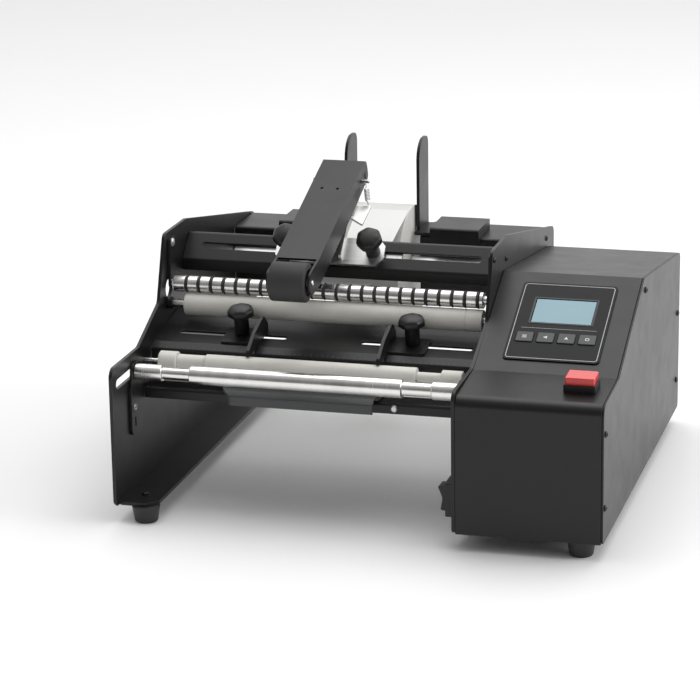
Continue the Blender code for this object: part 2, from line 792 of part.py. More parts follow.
def roll_guide(side, face_x, direction):
    """Upright cheek on a foot that hooks over the rear shelf and slides along it."""
    cheek = fillet(
        (
            (367.0, 180.3, 0.0),
            (367.0, 269.8, 20.0),
            (403.5, 269.8, 9.0),
            (403.5, 180.3, 0.0),
        ),
        steps=6,
    )
    low, high = sorted((face_x, face_x + direction * 3.0))
    made = prism(cheek, low, high)
    low, high = sorted((face_x, face_x + direction * 20.0))
    sole = block(low, high, 357.0, 400.0, 180.3, 183.3)
    hook = ((349.0, 177.0, 0.0), (349.0, 190.0, 3.0), (399.0, 190.0, 1.0), (399.0, 180.3, 0.0))
    hook += ((356.7, 180.3, 0.0), (356.7, 177.0, 0.0))
    low, high = sorted((face_x + direction * 17.0, face_x + direction * 65.0))
    fuse(made, sole, prism(fillet(hook), low, high))
    finish(made, f"roll_guide_{side}", "powder_black", (face_x, 385.0, 180.3))


def label_roll():
    spindle = lathe(stepped(((BAY_LEFT, BAY_RIGHT, 12.2),)), SPINDLE_AXIS, 28)
    finish(spindle, "roll_spindle", "aluminium", (0.0, *SPINDLE_AXIS))
    ring = (
        (ROLL_LEFT, 12.7),
        (ROLL_LEFT, ROLL_RADIUS),
        (ROLL_RIGHT, ROLL_RADIUS),
        (ROLL_RIGHT, 12.7),
    )
    roll = lathe(ring, SPINDLE_AXIS, 48, closed=True)
    finish(roll, "label_roll", "label_paper", (-67.3, *SPINDLE_AXIS))


def label_web():
    """Backing paper from the top of the roll, under the bar, to the drive nip."""
    start = Vector((174.0, 166.2))
    centre = Vector(SPINDLE_AXIS)
    reach = ROLL_RADIUS + 0.6
    line = centre - start
    swing = math.asin(reach / line.length) + math.atan2(line.y, line.x)
    length = math.sqrt(line.length_squared - reach * reach)
    along = Vector((math.cos(swing), math.sin(swing)))
    end = start + along * length
    under = Vector((along.y, -along.x)) * 0.3
    section = [tuple(p) for p in (start, end, end + under, start + under)]
    made = prism(section, ROLL_LEFT + 0.5, ROLL_RIGHT - 0.5)
    finish(made, "label_web", "label_paper", (-67.3, *tuple(start)))


# ---------------------------------------------------------------- control box


def on_panel(made):
    return tilt(made, PANEL_FOOT, PANEL_TILT)


def panel_block(x0, x1, s0, s1, n0, n1, radius=0.0):
    """Block on the sloping panel: s runs up the slope and n stands out of it."""
    depth, height = PANEL_FOOT
    outline = rectangle(x0, x1, depth + s0, depth + s1, radius)
    return on_panel(prism(outline, height + n0, height + n1, "z"))


def key_block(x, margin, n0, n1):
    half_x = KEY_SIZE[0] / 2.0 + margin
    half_s = KEY_SIZE[1] / 2.0 + margin
    return panel_block(x - half_x, x + half_x, KEY_S - half_s, KEY_S + half_s, n0, n1, 1.5)


def screen_block(margin, n0, n1):
    x0, x1 = SCREEN_X
    s0, s1 = SCREEN_S
    return panel_block(x0 - margin, x1 + margin, s0 - margin, s1 + margin, n0, n1)


def button_block(margin, n0, n1, radius=1.5):
    x, depth, height = BUTTON_AT
    half_x = BUTTON_SIZE[0] / 2.0 + margin
    half_s = BUTTON_SIZE[1] / 2.0 + margin
    outline = rectangle(x - half_x, x + half_x, depth - half_s, depth + half_s, radius)
    return tilt(prism(outline, height + n0, height + n1, "z"), (depth, height), SHELF_TILT)


def control_housing():
    high = HALF_WIDTH - COVER_SHEET - GAP
    shell = prism(bent_sheet(BOX_PATH, BOX_SHEET, 5.0), BOX_LEFT, high)
    openings = [screen_block(0.6, -8.0, 4.0), button_block(0.6, -6.0, 6.0)]
    openings += [key_block(x, 0.6, -6.0, 4.0) for x in KEY_X]
    openings.append(block(135.7, 164.3, 395.0, 405.0, 29.7, 50.3))
    cut(shell, *openings)
    finish(shell, "control_housing", "powder_black", (BOX_LEFT, 200.0, BOX_FLOOR))
    cover = prism(fillet(BOX_PATH), HALF_WIDTH - COVER_SHEET, HALF_WIDTH)
    finish(cover, "housing_side_cover", "powder_black", (HALF_WIDTH, 200.0, BOX_FLOOR))
    base = block(BOX_LEFT, high, 2.0, 399.0, BOX_FLOOR, BOX_FLOOR + 2.0)
    finish(base, "housing_base", "powder_black", (150.0, 200.0, BOX_FLOOR))


def panel_parts():
    panel = panel_block(*PANEL_X, *PANEL_S, GAP, 1.2, 4.0)
    cut(panel, screen_block(0.5, -2.0, 4.0), *[key_block(x, 0.4, -2.0, 4.0) for x in KEY_X])
    depth, height = PANEL_FOOT
    finish(panel, "keypad_panel", "black_plastic", (154.5, depth, height))
    screen = screen_block(0.0, -7.0, 1.0)
    finish(screen, "display_module", "display_blue", (154.5, depth, height))
    along = Vector((math.cos(PANEL_TILT), math.sin(PANEL_TILT)))
    for number, x in enumerate(KEY_X, 1):
        made = key_block(x, 0.0, -5.0, 2.2)
        spot = (x, depth + along.x * KEY_S, height + along.y * KEY_S)
        finish(made, f"key_{number}", "grey_plastic", spot)


def start_button():
    base = button_block(1.4, GAP, 6.8, 2.5)
    cut(base, button_block(0.4, -3.0, 9.0))
    finish(base, "start_button_base", "black_plastic", BUTTON_AT)
    finish(button_block(0.0, -8.0, 13.0), "start_button", "button_red", BUTTON_AT)


def rocker_switch():
    x, depth, height = ROCKER_AT
    outer = rectangle(depth - 11.0, depth + 11.0, height - 15.5, height + 15.5, 2.0)
    opening = rectangle(depth - 7.0, depth + 7.0, height - 12.0, height + 12.0)
    frame = prism(outer, 79.8, BAY_RIGHT, "x", (opening,))
    finish(frame, "rocker_frame", "black_plastic", ROCKER_AT)
    section = (
        (74.5, height - 11.0),
        (76.5, height),
        (72.0, height + 11.0),
        (86.0, height + 11.0),
        (86.0, height - 11.0),
    )
    made = prism(section, depth - 6.6, depth + 6.6, "y")
    finish(made, "rocker_switch", "black_plastic", ROCKER_AT)


def belt_loop(offset):
    """Outline round both pulleys at a distance from them."""
    low = Vector(MOTOR_AXIS)
    high = Vector(DRIVE_AXIS)
    span = (high - low).length
    low_radius = 9.0 + offset
    high_radius = 12.0 + offset
    lean = math.asin((high_radius - low_radius) / span)
    points = []
    for i in range(9):
        turn = -lean + (math.pi + 2.0 * lean) * i / 8
        points.append((high.x + high_radius * math.cos(turn), high.y + high_radius * math.sin(turn)))
    for i in range(9):
        turn = math.pi + lean + (math.pi - 2.0 * lean) * i / 8
        points.append((low.x + low_radius * math.cos(turn), low.y + low_radius * math.sin(turn)))
    return points


def drive_train():
    depth, height = MOTOR_AXIS
    motor = block(105.0, 152.0, depth - 21.0, depth + 21.0, height - 21.0, height + 21.0)
    shaft = lathe(stepped(((94.5, 110.0, 2.5),)), MOTOR_AXIS, 16)
    boss = lathe(stepped(((103.0, 110.0, 11.0),)), MOTOR_AXIS, 20)
    fuse(motor, boss, shaft)
    finish(motor, "drive_motor", "zinc", (105.0, *MOTOR_AXIS))
    wheels = {"motor_pulley": (MOTOR_AXIS, 2.8, 9.0), "drive_pulley": (DRIVE_AXIS, SHAFT_RADIUS + 0.3, 12.0)}
    for name, (axis, bore, radius) in wheels.items():
        ring = ((94.0, bore), (94.0, radius), (101.0, radius), (101.0, bore))
        made = lathe(ring, axis, 24, closed=True)
        finish(made, name, "aluminium", (97.5, *axis))
    belt = prism(belt_loop(1.6), 94.5, 100.5, "x", (belt_loop(GAP),))
    finish(belt, "drive_belt", "black_rubber", (97.5, *MOTOR_AXIS))


def electrics():
    low = BOX_FLOOR + 2.0 + GAP
    board = block(102.0, 198.0, 50.0, 130.0, low, low + 1.6)
    chips = [
        block(110.0, 130.0, 60.0, 80.0, low + 1.0, low + 6.0),
        block(140.0, 160.0, 65.0, 100.0, low + 1.0, low + 5.0),
        block(170.0, 190.0, 60.0, 72.0, low + 1.0, low + 12.0),
        block(110.0, 126.0, 100.0, 116.0, low + 1.0, low + 14.0),
        block(172.0, 190.0, 90.0, 120.0, low + 1.0, low + 9.0),
    ]
    fuse(board, *chips)
    finish(board, "control_board", "board_green", (150.0, 90.0, low))
    supply = prism(rectangle(104.0, 196.0, 230.0, 360.0, 3.0), low, low + 36.0, "z")
    finish(supply, "power_supply", "aluminium", (150.0, 295.0, low))
    inlet = block(136.0, 164.0, 378.0, 402.5, 30.0, 50.0)
    lip = block(131.0, 169.0, 401.3, 404.0, 26.0, 54.0)
    fuse(inlet, lip)
    recess = block(139.0, 161.0, 386.0, 406.0, 33.0, 47.0)
    cut(inlet, recess)
    pins = [
        block(x - 1.0, x + 1.0, 384.0, 399.0, z - 2.0, z + 2.0)
        for x, z in ((144.0, 38.0), (156.0, 38.0), (150.0, 43.0))
    ]
    fuse(inlet, *pins)
    finish(inlet, "mains_inlet", "black_plastic", (150.0, 401.0, 40.0))


def build():
    for old in list(bpy.data.objects):
        bpy.data.objects.remove(old)
    side_plates()
    feet()
    slotted_bar()
    rear_shelves()
    deck()
    lower_beam_and_tray()
    carriages()
    front_roller()
    support_roller()
    drive_roller()
    idler_roller()
    idler_hangers()
    bottle_stop("right", STOP_RIGHT_X, 1.0)
    bottle_stop("left", STOP_LEFT_X, -1.0)
    arm_bracket()
    clamp_nut()
    knob("bracket_knob_left", BRACKET_STUDS[0], BAR_CENTRE, BAR_TILT, 3.6, 8.0)
    knob("bracket_knob_right", BRACKET_STUDS[1], BAR_CENTRE, BAR_TILT, 3.6, 8.0)
    pressure_arm()
    arm_fittings()
    arm_springs()
    roll_guide("right", -33.2, 1.0)
    roll_guide("left", -101.4, -1.0)
    label_roll()
    label_web()
    control_housing()
    panel_parts()
    start_button()
    rocker_switch()
    drive_train()
    electrics()


build()
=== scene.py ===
"""Looks for the benchtop label applicator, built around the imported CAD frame.

Shapes are in millimetres as (x, depth, height), with depth measured from the front faces.
"""

import math

import bmesh
import bpy
from mathutils import Matrix, Vector
from mathutils.geometry import tessellate_polygon


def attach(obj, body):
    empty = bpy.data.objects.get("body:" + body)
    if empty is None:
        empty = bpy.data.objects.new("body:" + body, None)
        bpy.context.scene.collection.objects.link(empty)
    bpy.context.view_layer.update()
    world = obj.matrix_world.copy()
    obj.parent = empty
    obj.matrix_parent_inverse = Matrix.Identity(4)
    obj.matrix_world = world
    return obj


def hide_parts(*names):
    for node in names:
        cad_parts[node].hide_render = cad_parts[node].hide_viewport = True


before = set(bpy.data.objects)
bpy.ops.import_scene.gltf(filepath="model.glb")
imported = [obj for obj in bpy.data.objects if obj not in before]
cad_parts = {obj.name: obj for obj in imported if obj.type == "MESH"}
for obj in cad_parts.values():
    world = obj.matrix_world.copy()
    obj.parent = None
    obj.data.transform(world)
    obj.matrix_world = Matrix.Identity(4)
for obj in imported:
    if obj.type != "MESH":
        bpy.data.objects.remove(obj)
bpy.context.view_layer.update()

MM = 0.001
DEPTH = 424.0
LIFT = 3.0
GAP = 0.3
STUD_HOLE = 3.3

# ---------------------------------------------------------------- camera


def place_camera():
    azimuth = math.radians(15.22)
    elevation = math.radians(16.17)
    roll = math.radians(-0.81)
    back = Vector(
        (
            math.sin(azimuth) * math.cos(elevation),
            -math.cos(azimuth) * math.cos(elevation),
            math.sin(elevation),
        )
    )
    right = Vector((math.cos(azimuth), math.sin(azimuth), 0.0))
    up = back.cross(right)
    across = math.cos(roll) * right + math.sin(roll) * up
    upward = -math.sin(roll) * right + math.cos(roll) * up
    turned = Matrix((across, upward, back)).transposed().to_4x4()
    lens = bpy.data.cameras.new("camera")
    lens.sensor_width = 36.0
    lens.lens = 146.4
    lens.shift_x = -0.0193
    lens.shift_y = -0.010
    lens.clip_end = 50.0
    holder = bpy.data.objects.new("camera", lens)
    bpy.context.scene.collection.objects.link(holder)
    holder.matrix_world = Matrix.Translation((0.6151, -2.4292, 0.8457)) @ turned
    bpy.context.scene.camera = holder


place_camera()

# ---------------------------------------------------------------- materials


class Nodes:
    """Small helper that adds and links shader nodes."""

    def __init__(self, name):
        self.material = bpy.data.materials.new(name)
        self.material.use_nodes = True
        self.tree = self.material.node_tree
        self.shader = self.tree.nodes["Principled BSDF"]
        self.place = self.add("ShaderNodeTexCoord").outputs["Object"]

    def add(self, kind, **settings):
        node = self.tree.nodes.new(kind)
        for key, value in settings.items():
            setattr(node, key, value)
        return node

    def link(self, source, target):
        self.tree.links.new(source, target)

    def set(self, **values):
        for key, value in values.items():
            self.shader.inputs[key.replace("_", " ")].default_value = value

    def stretched(self, scale):
        node = self.add("ShaderNodeMapping")
        node.inputs["Scale"].default_value = scale
        self.link(self.place, node.inputs["Vector"])
        return node.outputs["Vector"]

    def noise(self, scale, detail=4.0, rough=0.55, stretch=None):
        node = self.add("ShaderNodeTexNoise")
        node.inputs["Scale"].default_value = scale
        node.inputs["Detail"].default_value = detail
        node.inputs["Roughness"].default_value = rough
        self.link(self.place if stretch is None else self.stretched(stretch), node.inputs["Vector"])
        return node.outputs["Fac"]

    def spread(self, value, low, high, out_low, out_high):
        node = self.add("ShaderNodeMapRange")
        node.inputs["From Min"].default_value = low
        node.inputs["From Max"].default_value = high
        node.inputs["To Min"].default_value = out_low
        node.inputs["To Max"].default_value = out_high
        self.link(value, node.inputs["Value"])
        return node.outputs["Result"]

    def mix(self, factor, first, second):
        node = self.add("ShaderNodeMix", data_type="RGBA")
        self.link(factor, node.inputs["Factor"])
        for socket, value in ((node.inputs[6], first), (node.inputs[7], second)):
            if isinstance(value, tuple):
                socket.default_value = (*value, 1.0)
            else:
                self.link(value, socket)
        return node.outputs[2]

    def bump(self, height, distance, strength=0.5, before=None):
        node = self.add("ShaderNodeBump")
        node.inputs["Strength"].default_value = strength
        node.inputs["Distance"].default_value = distance
        self.link(height, node.inputs["Height"])
        if before is not None:
            self.link(before, node.inputs["Normal"])
        return node.outputs["Normal"]

    def edges(self, radius, low, high):
        """Factor that is 1 on convex and concave edges and 0 on flat faces."""
        round_normal = self.add("ShaderNodeBevel", samples=4)
        round_normal.inputs["Radius"].default_value = radius
        geometry = self.add("ShaderNodeNewGeometry")
        dot = self.add("ShaderNodeVectorMath", operation="DOT_PRODUCT")
        self.link(round_normal.outputs["Normal"], dot.inputs[0])
        self.link(geometry.outputs["Normal"], dot.inputs[1])
        return self.spread(dot.outputs["Value"], high, low, 0.0, 1.0)

    def colour(self, output):
        self.link(output, self.shader.inputs["Base Color"])

    def roughness(self, output):
        self.link(output, self.shader.inputs["Roughness"])

    def normal(self, output):
        self.link(output, self.shader.inputs["Normal"])


def shade(colour, factor):
    return tuple(min(1.0, channel * factor) for channel in colour)


def coated(name, colour, roughness, grain=900.0, depth=0.00006, worn=None, shine=0.42):
    """Powder coat or moulded plastic: fine grain, faint mottling and soft rub marks."""
    n = Nodes(name)
    mottle = n.noise(14.0, 5.0)
    base = n.mix(n.spread(mottle, 0.35, 0.7, 0.0, 1.0), shade(colour, 0.93), shade(colour, 1.08))
    dust = n.noise(55.0, 8.0, 0.7)
    base = n.mix(n.spread(dust, 0.62, 0.9, 0.0, 0.2), base, shade(colour, 1.6))
    if worn is not None:
        rubbed = n.edges(0.0007, 0.9, 0.99)
        base = n.mix(n.spread(rubbed, 0.0, 1.0, 0.0, 0.55), base, worn)
    n.colour(base)
    n.roughness(n.spread(n.noise(38.0, 6.0), 0.3, 0.75, roughness - 0.02, roughness + 0.04))
    fine = n.noise(grain, 3.0, 0.5)
    broad = n.noise(grain * 0.28, 2.0, 0.5)
    n.normal(n.bump(broad, depth * 1.4, 0.35, n.bump(fine, depth, 0.55)))
    n.set(Specular_IOR_Level=shine)
    return n.material


def metal(name, colour, roughness, stretch, scale=60.0, depth=0.00003):
    """Turned or brushed metal: the marks run along the axis with the small scale."""
    n = Nodes(name)
    marks = n.noise(scale, 6.0, 0.7, stretch)
    base = n.mix(n.spread(marks, 0.3, 0.75, 0.0, 1.0), shade(colour, 0.88), shade(colour, 1.1))
    stain = n.noise(22.0, 5.0, 0.6)
    base = n.mix(n.spread(stain, 0.55, 0.85, 0.0, 0.4), base, shade(colour, 0.7))
    n.colour(base)
    n.set(Metallic=1.0)
    n.roughness(n.spread(marks, 0.3, 0.75, roughness - 0.05, roughness + 0.12))
    n.normal(n.bump(marks, depth, 0.35))
    return n.material


def rubber(name, colour, roughness, grain=420.0, depth=0.00008):
    n = Nodes(name)
    smudge = n.noise(18.0, 6.0, 0.65)
    base = n.mix(n.spread(smudge, 0.35, 0.75, 0.0, 1.0), shade(colour, 0.9), shade(colour, 1.06))
    spots = n.noise(120.0, 3.0, 0.6)
    base = n.mix(n.spread(spots, 0.66, 0.8, 0.0, 0.35), base, shade(colour, 0.72))
    n.colour(base)
    n.roughness(n.spread(smudge, 0.3, 0.7, roughness - 0.07, roughness + 0.1))
    n.normal(n.bump(n.noise(grain, 4.0), depth, 0.5))
    return n.material


def glossy(name, colour, roughness, **sockets):
    n = Nodes(name)
    haze = n.noise(30.0, 5.0)
    n.colour(n.mix(n.spread(haze, 0.3, 0.7, 0.0, 1.0), shade(colour, 0.92), shade(colour, 1.07)))
    n.roughness(n.spread(haze, 0.3, 0.7, roughness, roughness + 0.08))
    n.normal(n.bump(n.noise(350.0, 3.0), 0.00002, 0.2))
    n.set(**sockets)
    return n.material


def paper(name, colour):
    n = Nodes(name)
    fibre = n.noise(260.0, 8.0, 0.7)
    tint = n.noise(9.0, 3.0)
    base = n.mix(n.spread(tint, 0.3, 0.7, 0.0, 1.0), shade(colour, 0.96), shade(colour, 1.02))
    n.colour(n.mix(n.spread(fibre, 0.55, 0.9, 0.0, 0.3), base, shade(colour, 0.85)))
    n.roughness(n.spread(fibre, 0.3, 0.7, 0.5, 0.68))
    n.normal(n.bump(fibre, 0.00004, 0.3))
    return n.material


def wound_paper(name, colour):
    """Edge of a roll: rings round the spindle, read from the distance to its axis."""
    n = Nodes(name)
    apart = n.add("ShaderNodeVectorMath", operation="SUBTRACT")
    n.link(n.place, apart.inputs[0])
    apart.inputs[1].default_value = (0.0, (SPINDLE[0] - DEPTH / 2) * MM, (SPINDLE[1] + LIFT) * MM)
    flat = n.add("ShaderNodeVectorMath", operation="MULTIPLY")
    n.link(apart.outputs[0], flat.inputs[0])
    flat.inputs[1].default_value = (0.0, 1.0, 1.0)
    length = n.add("ShaderNodeVectorMath", operation="LENGTH")
    n.link(flat.outputs[0], length.inputs[0])
    rings = n.add("ShaderNodeTexNoise", noise_dimensions="1D")
    rings.inputs["Scale"].default_value = 1500.0
    rings.inputs["Detail"].default_value = 3.0
    n.link(length.outputs["Value"], rings.inputs["W"])
    lines = rings.outputs["Fac"]
    n.colour(n.mix(n.spread(lines, 0.35, 0.7, 0.0, 1.0), shade(colour, 0.78), colour))
    n.roughness(n.spread(lines, 0.3, 0.7, 0.55, 0.75))
    n.normal(n.bump(lines, 0.0001, 0.35))
    return n.material


SPINDLE = (360.0, 148.0)
POWDER = (0.006, 0.0062, 0.0066)
MATERIALS = {
    "powder_black": coated("powder_coat_black", POWDER, 0.38, worn=(0.04, 0.041, 0.043)),
    "powder_grey": coated("powder_coat_grey", (0.075, 0.077, 0.08), 0.5, worn=(0.13, 0.13, 0.135)),
    "bright_steel": metal("turned_steel", (0.84, 0.83, 0.81), 0.2, (0.3, 0.02, 0.02), 160.0, 0.00001),
    "hanger_steel": metal("spring_steel", (0.55, 0.55, 0.54), 0.28, (1.0, 1.0, 1.0), 200.0),
    "aluminium": metal("brushed_aluminium", (0.78, 0.78, 0.77), 0.36, (0.05, 1.0, 1.0), 420.0, 0.00002),
    "zinc": metal("zinc_plate", (0.62, 0.63, 0.65), 0.34, (1.0, 1.0, 1.0), 120.0),
    "black_rubber": rubber("black_rubber", (0.03, 0.03, 0.031), 0.6),
    "white_rubber": rubber("off_white_rubber", (0.78, 0.765, 0.71), 0.5, 300.0, 0.00003),
    "black_plastic": coated("moulded_black", (0.012, 0.012, 0.013), 0.38, 700.0, 0.00004),
    "grey_plastic": coated("moulded_grey", (0.05, 0.052, 0.055), 0.42, 700.0, 0.00004),
    "overlay": coated("overlay_film", (0.008, 0.008, 0.009), 0.3, 1300.0, 0.00002, shine=0.12),
    "print_white": coated("printed_white", (0.78, 0.78, 0.78), 0.45, 900.0, 0.00001),
    "print_faint": coated("printed_faint", (0.05, 0.05, 0.052), 0.4, 900.0, 0.00001),
    "print_silver": coated("printed_silver", (0.42, 0.43, 0.45), 0.4, 900.0, 0.00001),
    "display_blue": glossy(
        "display_glass",
        (0.1, 0.22, 0.27),
        0.2,
        Emission_Color=(0.18, 0.62, 0.8, 1.0),
        Emission_Strength=0.08,
        Coat_Weight=0.6,
    ),
    # The faint red emission on the start button is a painted glow standing in for light through the cap, not
    # a lamp.
    "button_red": glossy(
        "red_plastic_painted_glow",
        (0.72, 0.03, 0.026),
        0.16,
        Coat_Weight=0.5,
        Emission_Color=(0.8, 0.02, 0.01, 1.0),
        Emission_Strength=0.03,
    ),
    "label_paper": paper("label_paper", (0.8, 0.8, 0.79)),
    "roll_edge": wound_paper("roll_edge", (0.8, 0.79, 0.76)),
    "board_green": coated("solder_mask", (0.01, 0.12, 0.05), 0.35),
    "core_card": paper("card_core", (0.42, 0.3, 0.18)),
}

# ---------------------------------------------------------------- outlines


def fillet(corners, closed=True, steps=8):
    line = []
    count = len(corners)
    for i, (a, b, radius) in enumerate(corners):
        ends = not closed and i in (0, count - 1)
        if ends or radius <= 0.0:
            line.append((a, b))
            continue
        here = Vector((a, b))
        back = (Vector(corners[i - 1][:2]) - here).normalized()
        ahead = (Vector(corners[(i + 1) % count][:2]) - here).normalized()
        half = back.angle(ahead) / 2.0
        reach = radius / math.tan(half)
        centre = here + (back + ahead).normalized() * (radius / math.sin(half))
        start = here + back * reach - centre
        sweep = start.angle_signed(here + ahead * reach - centre)
        for step in range(steps + 1):
            turned = Matrix.Rotation(-sweep * step / steps, 2) @ start
            line.append(tuple(centre + turned))
    return line


def offset_line(line, distance):
    normals = []
    for (a0, b0), (a1, b1) in zip(line, line[1:]):
        run = math.hypot(a1 - a0, b1 - b0)
        normals.append(Vector(((b0 - b1) / run, (a1 - a0) / run)))
    moved = []
    for i, (a, b) in enumerate(line):
        before = normals[max(i - 1, 0)]
        after = normals[min(i, len(normals) - 1)]
        mitre = (before + after) / (1.0 + before.dot(after))
        moved.append((a + mitre.x * distance, b + mitre.y * distance))
    return moved


def bent_sheet(path, thickness, bend):
    line = fillet([(*point, bend)[:3] for point in path], closed=False)
    return line + offset_line(line, -thickness)[::-1]


def circle(a, b, radius, segments=48):
    turn = 2.0 * math.pi / segments
    return [
        (a + radius * math.cos(turn * i), b + radius * math.sin(turn * i))
        for i in range(segments)
    ]


def stadium(a0, a1, b, radius, segments=12):
    points = []
    for centre, first in ((a1, -0.5), (a0, 0.5)):
        for i in range(segments + 1):
            turn = math.pi * (first + i / segments)
            points.append((centre + radius * math.cos(turn), b + radius * math.sin(turn)))
    return points


def upright_stadium(a, b0, b1, radius, segments=12):
    return [(a + q, p) for p, q in stadium(b0, b1, 0.0, radius, segments)]


def rectangle(a0, a1, b0, b1, radius=0.0, steps=6):
    corners = [(a0, b0, radius), (a1, b0, radius), (a1, b1, radius), (a0, b1, radius)]
    return fillet(corners, steps=steps)


# ---------------------------------------------------------------- solids


def solid(vertices, faces):
    mesh = bpy.data.meshes.new("solid")
    mesh.from_pydata([Vector(v) * MM for v in vertices], [], faces)
    edit = bmesh.new()
    edit.from_mesh(mesh)
    bmesh.ops.recalc_face_normals(edit, faces=edit.faces)
    edit.to_mesh(mesh)
    edit.free()
    made = bpy.data.objects.new("solid", mesh)
    bpy.context.scene.collection.objects.link(made)
    return made


def prism(outline, low, high, axis="x", holes=()):
    place = {
        "x": lambda a, b, c: (c, a, b),
        "z": lambda a, b, c: (a, b, c),
        "y": lambda a, b, c: (a, c, b),
    }[axis]
    loops = [outline, *holes]
    flat = [point for loop in loops for point in loop]
    count = len(flat)
    vertices = [place(a, b, c) for c in (low, high) for a, b in flat]
    if holes:
        caps = tessellate_polygon([[Vector((a, b, 0.0)) for a, b in loop] for loop in loops])
    else:
        caps = [tuple(range(count))]
    faces = [tuple(cap) for cap in caps]
    faces += [tuple(i + count for i in reversed(cap)) for cap in caps]
    start = 0
    for loop in loops:
        size = len(loop)
        for i in range(size):
            here = start + i
            following = start + (i + 1) % size
            faces.append((here, following, following + count, here + count))
        start += size
    return solid(vertices, faces)


def block(x0, x1, y0, y1, z0, z1, radius=0.0):
    return prism(rectangle(x0, x1, y0, y1, radius), z0, z1, "z")


def lathe(profile, axis, segments=64, closed=False, centre_x=0.0):
    depth, height = axis
    turn = 2.0 * math.pi / segments
    vertices = []
    for x, radius in profile:
        for i in range(segments):
            across = radius * math.cos(turn * i)
            vertices.append((x + centre_x, depth + across, height + radius * math.sin(turn * i)))
    rings = len(profile)
    faces = []
    for ring in range(rings if closed else rings - 1):
        near = ring * segments
        far = (ring + 1) % rings * segments
        for i in range(segments):
            j = (i + 1) % segments
            faces.append((near + i, near + j, far + j, far + i))
    if not closed:
        faces.append(tuple(range(segments)))
        faces.append(tuple(range((rings - 1) * segments, rings * segments)))
    return solid(vertices, faces)


def upright_lathe(profile, x, depth, segments=64, closed=False):
    turned = lathe(list(profile), (0.0, 0.0), segments, closed)
    swap = Matrix(((0, 1, 0, x * MM), (0, 0, 1, depth * MM), (1, 0, 0, 0), (0, 0, 0, 1)))
    turned.data.transform(swap)
    return turned


def tilt(made, centre, angle):
    pivot = Vector((0.0, centre[0], centre[1])) * MM
    turn = Matrix.Translation(pivot) @ Matrix.Rotation(angle, 4, "X")
    made.data.transform(turn @ Matrix.Translation(-pivot))
    return made


def combine(base, others, operation):
    for other in others:
        step = base.modifiers.new("combine", "BOOLEAN")
        step.operation = operation
        step.solver = "EXACT"
        step.object = other
    bpy.context.view_layer.update()
    graph = bpy.context.evaluated_depsgraph_get()
    baked = bpy.data.meshes.new_from_object(base.evaluated_get(graph))
    base.modifiers.clear()
    base.data = baked
    for other in others:
        bpy.data.objects.remove(other)
    return base


def cut(base, *cutters):
    return combine(base, cutters, "DIFFERENCE")


def fuse(base, *others):
    return combine(base, others, "UNION")


def merged(base, *others):
    """Several closed shapes in one piece, left as they are."""
    edit = bmesh.new()
    for made in (base, *others):
        edit.from_mesh(made.data)
    edit.to_mesh(base.data)
    edit.free()
    for made in others:
        bpy.data.objects.remove(made)
    return base


def piece(made, name, body, slot, look=None, replaces=(), bevel=0.4, segments=2, angle=35.0):
    """Finish a shape: frame position, bevelled edges, material and the body it rides on."""
    made.name = name
    made.data.name = name
    made.data.transform(Matrix.Translation(Vector((0.0, -DEPTH / 2, LIFT)) * MM))
    made.data.materials.clear()
    made.data.materials.append(MATERIALS[look or slot])
    made.data.polygons.foreach_set("use_smooth", [True] * len(made.data.polygons))
    made.data.set_sharp_from_angle(angle=math.radians(angle))
    if bevel:
        edge = made.modifiers.new("edge", "BEVEL")
        edge.width = bevel * MM
        edge.segments = segments
        edge.limit_method = "ANGLE"
        edge.angle_limit = math.radians(angle)
        edge.harden_normals = False
        even = made.modifiers.new("even", "WEIGHTED_NORMAL")
        even.keep_sharp = True
    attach(made, body)
    if replaces:
        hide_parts(*replaces)
    return made


# ---------------------------------------------------------------- small parts


def screw_head(x, depth, height, direction, radius=3.0, rise=1.6):
    """Domed screw head with a shallow round recess, whose axis is along x."""
    profile = [
        (0.0, radius),
        (rise * 0.45, radius),
        (rise * 0.8, radius * 0.8),
        (rise, radius * 0.5),
        (rise * 0.45, radius * 0.46),
        (rise * 0.4, 0.05),
    ]
    return lathe([(x + direction * a, r) for a, r in profile], (depth, height), 24)


# ---------------------------------------------------------------- frame parts

HALF_WIDTH = 217.3
LEFT_OUTER = -HALF_WIDTH
LEFT_INNER = LEFT_OUTER + 3.0
RIGHT_INNER = 86.8
RIGHT_OUTER = 89.8
BAY_LEFT = LEFT_INNER + GAP
BAY_RIGHT = RIGHT_INNER - GAP
FLOOR = 12.0
PLATE_OUTLINE = (
    (0.0, FLOOR, 5.0),
    (0.0, 138.0, 9.0),
    (72.0, 138.0, 12.0),
    (131.0, 163.0, 8.0),
    (152.0, 222.0, 7.0),
    (213.0, 222.0, 12.0),
    (DEPTH, 179.5, 8.0),
    (DEPTH, FLOOR, 5.0),
)
FRONT_AXIS = (55.0, 121.0)
SUPPORT_AXIS = (85.0, 123.0)
DRIVE_AXIS = (155.0, 157.0)
IDLER_AXIS = (160.0, 174.5)


